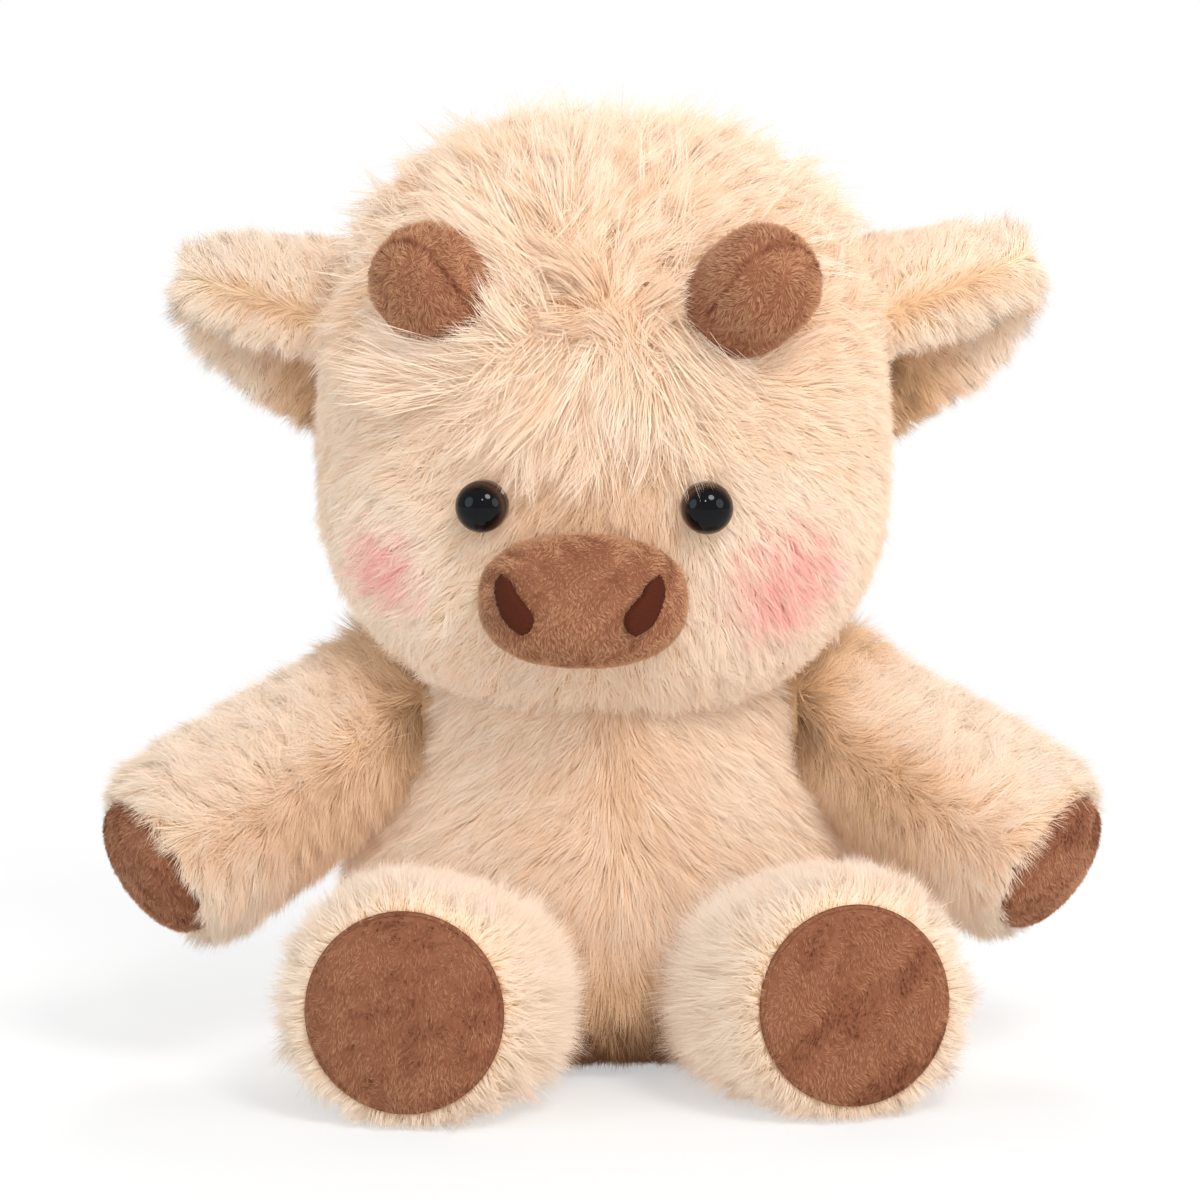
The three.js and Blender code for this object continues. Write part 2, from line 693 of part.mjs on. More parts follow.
const cow = new THREE.Group();
cow.add(
  piece("torso_cover", torsoCover, creamFur),
  piece("torso_filling", torsoFilling, fibreFill),
  piece("pellet_pouch", pouch, pouchCloth),
  piece("neck_tube", shifted(neckForm(0), 0, 0, neckPivotHeight), creamFur),
  ...pair("arm_cover", creamFur, leftArm.cover, rightArm.cover),
  ...pair("arm_filling", fibreFill, leftArm.filling, rightArm.filling),
  ...pair("paw_pad", brownPlush, leftArm.pad, rightArm.pad),
  ...pair("leg_cover", creamFur, legCover),
  ...pair("leg_filling", fibreFill, legFilling),
  ...pair("sole_pad", brownPlush, legPad),
  piece("tail_cover", tailCover, creamFur),
  piece("tail_tuft", tuft, longFur),
  headGroup,
);

export default cow;
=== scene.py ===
"""Looks for the plush cow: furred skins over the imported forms, in millimetres until a mesh is made."""

import json
import math

import bpy
import numpy as np
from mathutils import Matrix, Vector, kdtree
from numpy.linalg import norm


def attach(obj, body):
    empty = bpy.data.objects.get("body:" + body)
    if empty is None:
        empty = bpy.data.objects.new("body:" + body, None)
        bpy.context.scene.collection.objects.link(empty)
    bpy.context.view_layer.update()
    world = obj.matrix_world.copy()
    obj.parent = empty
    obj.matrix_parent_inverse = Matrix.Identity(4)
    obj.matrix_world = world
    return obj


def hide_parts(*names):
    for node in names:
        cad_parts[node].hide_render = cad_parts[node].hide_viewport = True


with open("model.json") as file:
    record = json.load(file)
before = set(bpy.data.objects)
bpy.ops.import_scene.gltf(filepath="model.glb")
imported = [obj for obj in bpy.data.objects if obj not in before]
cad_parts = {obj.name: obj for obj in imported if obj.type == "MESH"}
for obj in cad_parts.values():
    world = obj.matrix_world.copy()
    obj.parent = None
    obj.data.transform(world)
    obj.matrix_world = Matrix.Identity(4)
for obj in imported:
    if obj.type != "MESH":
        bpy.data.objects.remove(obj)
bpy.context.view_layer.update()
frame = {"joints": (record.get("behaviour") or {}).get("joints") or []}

MM = 0.001  # a millimetre in Blender's metres
JOINTS = {joint["name"]: np.array(joint["pos_m"]) / MM for joint in frame["joints"]}
UP = np.array([0.0, 0.0, 1.0])
FRONT = np.array([0.0, -1.0, 0.0])
SIDES = {"left": 1, "right": -1}


# Vectors in rows


def unit(rows):
    rows = np.asarray(rows, float)
    return rows / np.maximum(norm(rows, axis=-1, keepdims=True), 1e-9)


def dot(a, b):
    return (np.asarray(a) * np.asarray(b)).sum(-1)


def smooth(low, high, values):
    """0 below low, 1 above high, and an S curve between them."""
    share = np.clip((values - low) / (high - low), 0, 1)
    return share * share * (3 - 2 * share)


def fade(low, high, values):
    """1 below low, 0 above high, and an S curve between them."""
    return 1 - smooth(low, high, values)


def near(points, place, radius):
    """1 at a place, falling to 0 at a radius from it."""
    return fade(0, radius, norm(points - place, axis=-1))


def drift(points, reach, seed):
    """A soft field of small vectors that changes over a reach."""
    rng = np.random.default_rng(seed)
    waves, total = 7, np.zeros_like(points)
    for _ in range(waves):
        way = unit(rng.normal(size=3)) * rng.uniform(0.6, 1.6) / reach
        total += np.sin(points @ way * math.tau + rng.uniform(0, math.tau))[:, None] * rng.normal(size=3)
    return total / waves


def drift1(points, reach, seed):
    """A soft field of numbers, mostly between -1 and 1."""
    return drift(points, reach, seed)[:, 0] * 1.6


class Place:
    """Where a form stands: its origin and its own three axes, as the columns of a turn."""

    def __init__(self, origin, turn=None):
        self.origin = np.asarray(origin, float)
        self.turn = np.eye(3) if turn is None else turn

    def out(self, points):
        return points @ self.turn.T + self.origin

    def swing(self, ways):
        return ways @ self.turn.T

    def into(self, ways):
        return np.asarray(ways, float) @ self.turn

    def carried(self, place):
        """A place of this place's own, as it stands outside."""
        return Place(self.out(place.origin[None])[0], self.turn @ place.turn)

    def inside(self, points):
        return (np.asarray(points, float) - self.origin) @ self.turn


WORLD = Place([0, 0, 0])


def turned(degrees, axis):
    """The turn by an angle about one of the three axes."""
    angle = math.radians(degrees)
    c, s = math.cos(angle), math.sin(angle)
    a, b = [(1, 2), (2, 0), (0, 1)][axis]
    turn = np.eye(3)
    turn[a, a], turn[a, b], turn[b, a], turn[b, b] = c, -s, s, c
    return turn


def aimed(origin, way):
    """A place whose third axis points along a way, with its second as near as it can be to up."""
    along = unit(way)
    across = unit(np.cross(UP, along))
    return Place(origin, np.stack([across, np.cross(along, across), along], axis=1))


# Skins that pile grows from


class Skin:
    """A form as points, triangles and the way out at each point."""

    def __init__(self, points, quads):
        self.points = points
        self.quads = quads
        triangles = np.concatenate([quads[:, [0, 1, 2]], quads[:, [0, 2, 3]]])
        corners = points[triangles]
        cross = np.cross(corners[:, 1] - corners[:, 0], corners[:, 2] - corners[:, 0])
        areas = norm(cross, axis=1) / 2
        self.triangles, self.areas = triangles[areas > 1e-6], areas[areas > 1e-6]
        out = np.zeros_like(points)
        for corner in range(3):
            np.add.at(out, triangles[:, corner], cross)
        self.out = unit(out)

    def scatter(self, per_square_mm, rng, keep=None):
        """Roots spread evenly over the skin, with the way out at each.

        keep(points) gives the share of them to keep.
        """
        count = int(self.areas.sum() * per_square_mm)
        chosen = rng.choice(len(self.areas), count, p=self.areas / self.areas.sum())
        a, b = rng.random(count), rng.random(count)
        a, b = np.where(a + b > 1, 1 - a, a), np.where(a + b > 1, 1 - b, b)
        shares = np.stack([1 - a - b, a, b], axis=1)[:, :, None]
        roots = (self.points[self.triangles[chosen]] * shares).sum(1)
        out = unit((self.out[self.triangles[chosen]] * shares).sum(1))
        if keep is not None:
            kept = rng.random(count) < keep(roots)
            roots, out = roots[kept], out[kept]
        return roots, out


def woven(rows, around):
    """The quads of a grid of rows of points, each row going round once."""
    row, here = np.meshgrid(np.arange(rows - 1) * around, np.arange(around), indexing="ij")
    beside = (here + 1) % around
    corners = [row + here, row + beside, row + around + beside, row + around + here]
    return np.stack(corners, axis=-1).reshape(-1, 4)


def lump(half_width, half_depth, rise, drop, squareness, taper_share=0.0, rows=72, around=112):
    """A stuffed ball with half sizes of its own, narrowing below its widest level, as in the solids."""
    polar = np.linspace(0.001, math.pi - 0.001, rows)[::-1]
    turn = np.linspace(0, math.tau, around, endpoint=False)
    p, t = np.meshgrid(polar, turn, indexing="ij")
    way = np.stack([np.sin(p) * np.cos(t), np.sin(p) * np.sin(t), np.cos(p)], axis=-1).reshape(-1, 3)
    tall = np.where(way[:, 2] > 0, rise, drop)
    shares = np.abs(way / np.stack([half_width + 0 * tall, half_depth + 0 * tall, tall], axis=1))
    total = (shares**squareness).sum(1)
    points = way * total[:, None] ** (-1 / squareness)
    points[:, 0] *= 1 - taper_share * np.minimum(points[:, 2] / tall, 0) ** 2
    return Skin(points, woven(rows, around))


def front_of(half_width, half_depth, rise, drop, squareness, x, z, taper_share=0.0):
    """How far forward a lump reaches at a place across and up from its middle."""
    share = np.asarray(z) / np.where(np.asarray(z) > 0, rise, drop)
    wide = half_width * (1 - taper_share * np.minimum(share, 0) ** 2)
    left = 1 - np.abs(np.asarray(x) / wide) ** squareness - np.abs(share) ** squareness
    return half_depth * np.maximum(left, 0) ** (1 / squareness)


def spun(profile, around, depth_share=1.0):
    """A skin turned about its third axis, from rows of radius and height."""
    profile = np.asarray(profile, float)
    turn = np.linspace(0, math.tau, around, endpoint=False)
    radius, height = profile[:, :1], profile[:, 1:]
    rings = [radius * np.cos(turn), depth_share * radius * np.sin(turn), height + 0 * turn]
    return Skin(np.stack(rings, axis=-1).reshape(-1, 3), woven(len(profile), around))


def rounded(radius, height, rise, steps):
    """A profile that starts at a radius and a height, and rounds over to the axis."""
    arc = np.linspace(0, math.pi / 2, steps)
    rows = np.stack([radius * np.cos(arc), height + rise * np.sin(arc)], axis=1)
    rows[-1, 0] = 0.01
    return rows


def curve_through(knots, steps):
    """A smooth line through knots of radius and height."""
    knots = np.asarray(knots, float)
    ends = np.vstack([2 * knots[0] - knots[1], knots, 2 * knots[-1] - knots[-2]])
    rows = []
    for i in range(len(knots) - 1):
        p0, p1, p2, p3 = ends[i : i + 4]
        square = 2 * p0 - 5 * p1 + 4 * p2 - p3
        cube = 3 * p1 - p0 - 3 * p2 + p3
        for t in np.linspace(0, 1, steps, endpoint=False):
            rows.append(0.5 * (2 * p1 + (p2 - p0) * t + square * t**2 + cube * t**3))
    rows.append(knots[-1])
    return np.array(rows)


# Meshes


def mesh_object(name, points, faces, finish, body=None, uv=None, normals=None):
    """A Blender piece from points in millimetres; faces is an array of quads or a list of such arrays."""
    groups = faces if isinstance(faces, list) else [faces]
    mesh = bpy.data.meshes.new(name)
    corners = np.concatenate([group.ravel() for group in groups]).astype(np.int32)
    sizes = np.concatenate([np.full(len(group), group.shape[1], np.int32) for group in groups])
    mesh.vertices.add(len(points))
    mesh.vertices.foreach_set("co", (np.asarray(points) * MM).astype(np.float32).ravel())
    mesh.loops.add(len(corners))
    mesh.loops.foreach_set("vertex_index", corners)
    mesh.polygons.add(len(sizes))
    starts = np.concatenate([[0], np.cumsum(sizes)[:-1]]).astype(np.int32)
    mesh.polygons.foreach_set("loop_start", starts)
    mesh.polygons.foreach_set("use_smooth", np.full(len(sizes), True))
    if uv is not None:
        layer = mesh.uv_layers.new(name="OFBake")
        layer.data.foreach_set("uv", uv[corners].astype(np.float32).ravel())
    mesh.update(calc_edges=True)
    if normals is not None:
        mesh.normals_split_custom_set_from_vertices(normals.astype(np.float32))
    mesh.materials.append(finish)
    piece = bpy.data.objects.new(name, mesh)
    bpy.context.scene.collection.objects.link(piece)
    if body:
        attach(piece, body)
    return piece


# Pile

ROOT_DEPTH = 0.6  # how far under its skin a strand starts
REST_RISE = 0.15  # how far a strand's rest stands off the skin


def combed(roots, out, comb, length, lift, sag, down, steps, bend=0.6):
    """Strands as rows of points.

    Each leaves its root at a lift above the skin and bends along its comb and down.
    """
    along = unit(comb - out * dot(comb, out)[:, None])
    rising = unit(out * np.sin(lift)[:, None] + along * np.cos(lift)[:, None])
    resting = unit(along + out * REST_RISE + down * sag)
    place = roots - out * ROOT_DEPTH
    points = [place]
    for step in range(steps):
        share = (step + 0.5) / steps * bend
        way = unit(rising * (1 - share) + resting * share)
        place = place + way * (length / steps)[:, None]
        points.append(place)
    return np.stack(points, axis=1)


def tufted(roots, rng, spacing):
    """Each root's tuft, and the root that leads it, for tufts of about a spacing across."""
    extent = np.ptp(roots, axis=0)
    area = 1.6 * (extent[0] * extent[1] + extent[1] * extent[2] + extent[0] * extent[2])
    heads = rng.choice(len(roots), max(8, min(len(roots), int(area / spacing**2))), replace=False)
    tree = kdtree.KDTree(len(heads))
    for i, head in enumerate(heads):
        tree.insert(roots[head], i)
    tree.balance()
    tuft = np.array([tree.find(root)[1] for root in roots])
    return tuft, heads[tuft]


def drawn(curves, leaders, pull):
    """Draws strands toward the ones that lead their tufts, the more the nearer the tip."""
    steps = curves.shape[1] - 1
    share = (np.arange(steps + 1) / steps) ** 1.5
    pull = np.broadcast_to(pull, (len(curves),))
    return curves + (curves[leaders] - curves) * (pull[:, None] * share)[:, :, None]


CORNERS = 3  # of a strand's section
STOUT, TAPER = 0.56, 0.6  # a strand's radius as a share of its width, and the share it loses by its tip


def strands(curves, out, width, rng, crisp):
    """Closed tapering strands with three sides, each point with its share of the way to the tip.

    Their shading follows out, so that the coat shades as one soft body, and is mirrored where a
    side faces away from it. crisp is how much of each side's own facing is left in it.
    """
    count, rows = curves.shape[:2]
    ways = unit(np.gradient(curves, axis=1))
    across = unit(np.cross(ways, unit(rng.normal(size=out.shape))[:, None]))
    upward = np.cross(ways, across)
    t = np.arange(rows) / (rows - 1)
    radius = (width[:, None] * STOUT) * (1 - TAPER * t[None] ** 1.4)
    rings, facings = [], []
    for corner in range(CORNERS):
        angle = math.tau * corner / CORNERS
        facing = across * math.cos(angle) + upward * math.sin(angle)
        rings.append((curves + facing * radius[:, :, None])[:, :-1])
        mirrored = out[:, None] - 2 * facing * np.minimum(dot(facing, out[:, None]), 0)[:, :, None]
        facings.append(unit(mirrored * (1 - crisp) + facing * crisp)[:, :-1])
    points = np.concatenate([np.stack(rings, axis=2).reshape(count, -1, 3), curves[:, -1:]], axis=1)
    normals = np.concatenate([np.stack(facings, axis=2).reshape(count, -1, 3), out[:, None]], axis=1)
    per = CORNERS * (rows - 1) + 1
    base = (np.arange(count) * per)[:, None]
    quads, tips = [], []
    for corner in range(CORNERS):
        beside = (corner + 1) % CORNERS
        for row in range(rows - 2):
            at = CORNERS * row
            quad = [at + corner, at + beside, at + CORNERS + beside, at + CORNERS + corner]
            quads.append(base + np.array(quad))
        at = CORNERS * (rows - 2)
        tips.append(base + np.array([at + corner, at + beside, per - 1]))
    share = np.concatenate([np.repeat(t[:-1], CORNERS), [1.0]])
    faces = [np.concatenate(quads), np.concatenate(tips)] if quads else [np.concatenate(tips)]
    return points.reshape(-1, 3), faces, normals.reshape(-1, 3), np.tile(share, (count, 1))


MOST_FACES = 190000  # triangles in one piece
FLOOR_CLEAR, BACKING_CLEAR = 0.3, 0.7  # the lowest that a strand and a backing lie
NUDGES = np.array([-0.002, 0.0, 0.002])  # keep each side's width on the map above nothing
# Pile passes light on from the side that most of it comes from
LIT_WAY, LIT_SHARE = unit([0.1, -0.75, 0.65]), 0.45


def pile(name, place, curves, out, width, tone, finish, body, seed, crisp):
    """Makes the pieces of one coat; tone is each strand's place in its finish's range of colours."""
    rng = np.random.default_rng(seed)
    per_strand = CORNERS * (2 * (curves.shape[1] - 2) + 1)
    parts = max(1, math.ceil(len(curves) * per_strand / MOST_FACES))
    order = np.argsort(curves[:, 0, 0], kind="stable") if parts > 1 else np.arange(len(curves))
    shaded = unit(out + place.into(LIT_WAY) * LIT_SHARE)
    for part, chosen in enumerate(np.array_split(order, parts)):
        points, faces, normals, share = strands(curves[chosen], shaded[chosen], width[chosen], rng, crisp)
        points = place.out(points)
        points[:, 2] = np.maximum(points[:, 2], FLOOR_CLEAR)
        tones = np.clip(tone[chosen], 0.004, 0.996)[:, None]  # well inside the map
        tones = tones + np.resize(NUDGES, share.shape[1])
        uv = np.stack([tones, 0.01 + 0.98 * share], axis=-1).reshape(-1, 2)
        part_name = name if parts == 1 else f"{name}_{part + 1}"
        normals = place.swing(normals)
        piece = mesh_object(part_name, points, faces, finish, body, uv=uv, normals=normals)


def each(wish, roots, out):
    """What is wished for each root: one value for all, or a function of the roots and the ways out."""
    return wish(roots, out) if callable(wish) else np.asarray(wish, float)


# The tone from which the cream finish's colours turn rosy, and the one at which they are palest
ROSY_FROM, PALEST = 0.75, 0.73
WISP, WISP_PULL = 1.7, 0.3  # the size of the small tufts in the large ones, and how far they close
SHAG, SHAG_REACH = 0.08, 18.0  # the slow change of the length over a coat, and its reach


def coat(name, place, skin, body, seed, density, length, lift, comb, tone, slot="cream_fur", keep=None,
         width=0.32, steps=1, sag=0.15, bend=0.6, clump=4.0, pull=0.25, tall=0.1, ruffle=0.28,
         stray=0.22, flow=0.35, mottle=0.035):
    """Grows a coat of cream pile on a skin.

    length, lift (in degrees above the skin), comb and tone are wishes for each root. clump is the
    size of the tufts, pull how far they close, and tall, ruffle and mottle how much they differ in
    length, way and tone. stray and flow turn each strand alone, and strands together.
    """
    rng = np.random.default_rng(seed)
    roots, out = skin.scatter(density, rng, keep)
    down = place.into(-UP)
    tuft, leaders = tufted(roots, rng, clump)
    wisp, wisp_leaders = tufted(roots, rng, WISP)
    tufts = tuft.max() + 1
    shag = 1 + SHAG * drift1(roots, SHAG_REACH, seed + 2)
    lengths = each(length, roots, out) * rng.uniform(0.72, 1.16, len(roots)) * shag
    lengths *= 1 + tall * rng.normal(size=tufts)[tuft]
    lifts = each(lift, roots, out) * rng.uniform(0.75, 1.25, len(roots))
    lifts = lifts + 6 * rng.normal(size=tufts)[tuft]
    ways = unit(each(comb, roots, out)) + drift(roots, SHAG_REACH, seed + 1) * flow
    ways = ways + rng.normal(size=roots.shape) * stray
    ways = ways + rng.normal(size=(tufts, 3))[tuft] * ruffle
    rises = np.radians(np.clip(lifts, 8, 88))
    curves = combed(roots, out, ways, lengths, rises, sag, down, steps, bend)
    curves = drawn(curves, leaders, pull * rng.uniform(0.3, 1.3, len(curves)))
    curves = drawn(curves, wisp_leaders, WISP_PULL)
    tuft_tone = rng.normal(size=tufts)[tuft] * mottle
    tuft_tone = tuft_tone + rng.normal(size=wisp.max() + 1)[wisp] * mottle * 0.8
    asked = each(tone, roots, out)
    tones = asked + tuft_tone + rng.normal(size=len(roots)) * mottle
    tones = np.where(asked < ROSY_FROM, np.minimum(tones, ROSY_FROM), tones)
    widths = width * rng.uniform(0.75, 1.25, len(roots))
    pile(name, place, curves, out, widths, tones, cream_pile, body, seed + 7, 0.3)


# Finishes


def colour(code):
    """The linear colour of a screen colour such as F5E6D3."""
    parts = [int(code[i : i + 2], 16) / 255 for i in (0, 2, 4)]
    return [p / 12.92 if p <= 0.04045 else ((p + 0.055) / 1.055) ** 2.4 for p in parts] + [1.0]


class Wire:
    """A shader socket that products and powers can be written with."""

    def __init__(self, finish, socket):
        self.finish, self.socket = finish, socket

    def maths(self, operation, first, second):
        return self.finish.add("ShaderNodeMath", {"operation": operation}, {0: first, 1: second})

    def __mul__(self, other):
        return self.maths("MULTIPLY", self, other)

    def __pow__(self, other):
        return self.maths("POWER", self, other)


class Finish:
    """The nodes of one shader, of a material or of the world."""

    def __init__(self, owner, end="ShaderNodeOutputMaterial"):
        self.owner = owner
        self.owner.use_nodes = True
        self.tree = self.owner.node_tree
        self.tree.nodes.clear()
        self.end = self.tree.nodes.new(end)

    def add(self, kind, settings=None, sockets=None, out=0):
        """Any node, with its settings, a ramp's stops among them, and its sockets' values or wires."""
        node = self.tree.nodes.new(kind)
        for key, value in (settings or {}).items():
            if key == "stops":
                ramp = node.color_ramp
                while len(ramp.elements) < len(value):
                    ramp.elements.new(1)
                for element, (place, code) in zip(ramp.elements, value):
                    element.position, element.color = place, colour(code)
            else:
                setattr(node, key, value)
        for key, value in (sockets or {}).items():
            if isinstance(value, Wire):
                self.tree.links.new(value.socket, node.inputs[key])
            else:
                node.inputs[key].default_value = value
        return Wire(self, node.outputs[out])

    def mix(self, share, first, second):
        return self.add("ShaderNodeMix", {"data_type": "RGBA"}, {0: share, 6: first, 7: second}, out=2)

    def map_axes(self):
        """The two axes of the map on a piece."""
        place = self.add("ShaderNodeUVMap", {"uv_map": "OFBake"})
        across = self.add("ShaderNodeSeparateXYZ", sockets={0: place})
        return across, Wire(self, across.socket.node.outputs[1])

    def ramp(self, share, stops):
        return self.add("ShaderNodeValToRGB", {"stops": stops}, {0: share})

    def close(self, shader):
        self.tree.links.new(shader.socket, self.end.inputs["Surface"])
        return self.owner

    def close_surface(self, **sockets):
        """Closes with a plain surface; a socket's name has _ for each space."""
        named = {key.replace("_", " "): value for key, value in sockets.items()}
        return self.close(self.add("ShaderNodeBsdfPrincipled", sockets=named))


def pile_finish(name, root_stops, tip_stops, reach=0.55, glow=0.13, sheen=0.2, roughness=0.8):
    """Loose pile: each strand's tone lies across the map, and its root and tip along it.

    The small glow stands for the light that real pile passes on from strand to strand.
    """
    finish = Finish(bpy.data.materials.new(name))
    across, along = finish.map_axes()
    roots, tips = finish.ramp(across, root_stops), finish.ramp(across, tip_stops)
    base = finish.mix(along**reach, roots, tips)
    return finish.close_surface(
        Base_Color=base, Roughness=roughness, Sheen_Weight=sheen, Sheen_Roughness=0.4,
        Specular_IOR_Level=0.2, Emission_Color=base, Emission_Strength=glow)


def plain_finish(name, dark, light, bump=0.0, scale=900, **sockets):
    """A surface with a fine grain between two colours, and in relief if it has a bump."""
    finish = Finish(bpy.data.materials.new(name))
    noise = finish.add("ShaderNodeTexNoise", sockets={"Scale": scale, "Detail": 2.0})
    shade = finish.ramp(noise, [(0.3, dark), (0.7, light)])
    if bump:
        relief = {"Strength": bump, "Distance": 0.0004, "Height": noise}
        sockets["Normal"] = finish.add("ShaderNodeBump", sockets=relief)
    return finish.close_surface(Base_Color=shade, Roughness=0.9, **sockets)


# Tones up to about 0.3 are deep tans and browns that paint shade into partings, folds and the hollow
# between the legs. In both pile finishes each root is darker than its tip: painted shade deep in the pile.
CREAM_ROOTS = [(0.0, "6E4A30"), (0.3, "C9996C"), (0.55, "E2BA92"), (0.74, "F1D5B3"), (0.86, "F1C1A9"),
               (1.0, "EC9892")]
CREAM_TIPS = [(0.0, "80583C"), (0.3, "EDC59D"), (0.55, "F9D6B9"), (0.74, "FCE7D3"), (0.86, "FCCABA"),
              (1.0, "F8A09B")]
BROWN_ROOTS = [(0.0, "40200F"), (0.5, "6F3C25"), (1.0, "9E6944")]
BROWN_TIPS = [(0.0, "713C26"), (0.5, "B67654"), (1.0, "DCA882")]

cream_pile = pile_finish("cream_pile", CREAM_ROOTS, CREAM_TIPS)
brown_pile = pile_finish("brown_pile", BROWN_ROOTS, BROWN_TIPS, reach=1.0, glow=0.04, sheen=0.15,
                         roughness=0.85)
cream_backing = plain_finish("cream_backing", "D9B186", "EAC7A0", bump=0.3)
brown_backing = plain_finish("brown_backing", "80492F", "965F42", bump=0.3)
nostril_thread = plain_finish("nostril_thread", "3F1B10", "5F2D1C", scale=1400, Specular_IOR_Level=0.12)


def eye_finish():
    """Black glass whose rim is dark brown; the map's first axis runs from the rim to the middle."""
    finish = Finish(bpy.data.materials.new("eye_gloss"))
    stops = [(0.0, "1C120D"), (0.07, "4A352A"), (0.15, "2C1E17"), (0.25, "0A0A0C"), (1.0, "07080B")]
    shade = finish.ramp(finish.map_axes()[0], stops)
    return finish.close_surface(Base_Color=shade, Roughness=0.05, Specular_IOR_Level=0.18)


eye_gloss = eye_finish()
BACKINGS = {"cream_fur": cream_backing, "long_fur": cream_backing, "brown_plush": brown_backing}


def backing(name, place, skin, body, slot, replaced, inset=0.5):
    """The cloth that a coat stands on, just under the roots."""
    points = place.out(skin.points - skin.out * inset)
    points[:, 2] = np.maximum(points[:, 2], BACKING_CLEAR)
    piece = mesh_object(name, points, skin.quads, BACKINGS[slot], body)
    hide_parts(*replaced)


def short_pile(name, place, skin, body, seed, tone, keep=None, length=2.1, density=7.0, lean=None,
               width=0.21, mottle=0.07, lightest=1.0):
    """The close brown pile of the muzzle, horns and pads, brushed this way and that."""
    rng = np.random.default_rng(seed)
    roots, out = skin.scatter(density, rng, keep)
    down = place.into(-UP)
    lean = down if lean is None else each(lean, roots, out)
    brushed = drift(roots, 9, seed + 1) * 2.2
    ways = lean + brushed + rng.normal(size=roots.shape) * 0.3
    lengths = length * rng.uniform(0.7, 1.2, len(roots))
    lifts = np.radians(rng.uniform(32, 60, len(roots)))
    curves = combed(roots, out, ways, lengths, lifts, 0.05, down, 1)
    wisp, leaders = tufted(roots, rng, 0.9)
    curves = drawn(curves, leaders, 0.5)
    # Painted sheen of the nap: strands are painted lighter or darker by the way they are brushed.
    tones = tone(roots, out) + (brushed @ [0.4, 0, 1]) * 1.2 * mottle
    tones = tones + rng.normal(size=wisp.max() + 1)[wisp] * 1.5 * mottle
    tones = np.minimum(tones + rng.normal(size=len(roots)) * mottle * 0.6, lightest)
    widths = width * rng.uniform(0.8, 1.2, len(roots))
    pile(name, place, curves, out, widths, tones, brown_pile, body, seed + 3, crisp=0.75)


# The head: all its places are from the neck's pivot, before its turn

PILE_DEPTH = 4.0  # the backing lies this far under the solids' fur
ear_line = JOINTS["ear_flap_left"] - JOINTS["ear_flap_right"]
HEAD_TURN = math.degrees(math.atan2(ear_line[1], ear_line[0]))
HEAD = Place(JOINTS["head_turn"], turned(HEAD_TURN, 2))
HEAD_SIZES = dict(half_width=72, half_depth=60, rise=84, drop=64, squareness=2.8, taper_share=0.22)
HEAD_MIDDLE = np.array([0.0, 0.0, 50.0])


def shrunk(sizes, inset):
    """A lump's sizes with its surface drawn in."""
    drawn_in = {key: sizes[key] - inset for key in ("half_width", "half_depth", "rise", "drop")}
    return {**sizes, **drawn_in}


head_skin = lump(**shrunk(HEAD_SIZES, PILE_DEPTH))
head_skin.points += HEAD_MIDDLE


def on_face(across, up):
    """A place on the head's fur, across and up from its widest level."""
    return np.array([across, -front_of(**HEAD_SIZES, x=across, z=up), HEAD_MIDDLE[2] + up])


def face_way(across, up):
    """The way out of the face."""
    rise = on_face(across, up + 1) - on_face(across, up - 1)
    width = on_face(across + 1, up) - on_face(across - 1, up)
    return unit(np.cross(width, rise))


MUZZLE_SIZES = dict(half_width=26, half_depth=17, rise=16.7, drop=17.3, squareness=2.4)
MUZZLE_ASIDE = -1.7
MUZZLE_MIDDLE = on_face(0, -25) + [MUZZLE_ASIDE, 0, 0]
EYE_ACROSS, EYE_ASIDE, EYE_UP, EYE_RADIUS, EYE_DOME = 26.5, 1.0, -3.0, 6.2, 5.2
EYE_PLACES = {side: sign * EYE_ACROSS + EYE_ASIDE for side, sign in SIDES.items()}
EYES = {side: on_face(across, EYE_UP) for side, across in EYE_PLACES.items()}
PART_TOP, PART_FOOT = on_face(-6, 60), on_face(13, 20)  # the ends of the forelock's parting
HORN_RADIUS, HORN_LENGTH, HORN_TIP, HORN_SUNK = 14.8, 34.0, 12.5, 10.0
HORN_ACROSS, HORN_UP, HORN_ASIDE = 35.0, 46.0, 1.2
horn_way = turned(26, 2) @ turned(-24, 0) @ FRONT
HORNS = {}
for side, sign in SIDES.items():
    way = horn_way * [sign, 1, 1]
    root = on_face(sign * HORN_ACROSS, HORN_UP) + [HORN_ASIDE, 0, 0]
    HORNS[side] = aimed(root - way * HORN_SUNK, way)


def off_muzzle(points, margin):
    """How far outside the muzzle's edge a place on the face is, as a share of the muzzle's size."""
    x, y, z = points.T
    across = (x - MUZZLE_MIDDLE[0]) / (MUZZLE_SIZES["half_width"] + margin)
    up = (z - MUZZLE_MIDDLE[2]) / (MUZZLE_SIZES["rise"] + margin)
    return np.where(y < 0, np.hypot(across, up), 9.0)


def from_parting(points):
    """The way from the nearest place on the forelock's parting."""
    line = PART_FOOT - PART_TOP
    share = np.clip((points - PART_TOP) @ line / (line @ line), 0, 1)
    return points - (PART_TOP + share[:, None] * line)


def head_open(points):
    """Where the head's pile grows: not under the muzzle, the eyes, the horns or the neck."""
    _, y, z = points.T
    keep = (off_muzzle(points, -2.0) > 1).astype(float) * (z > -6)
    for side in SIDES:
        away = norm(points - EYES[side], axis=1)
        keep *= away > EYE_RADIUS - 0.2
        horn = HORNS[side].inside(points)
        keep *= (np.hypot(horn[:, 0], horn[:, 1]) > HORN_RADIUS - 1.0) | (y > 0)
    return keep


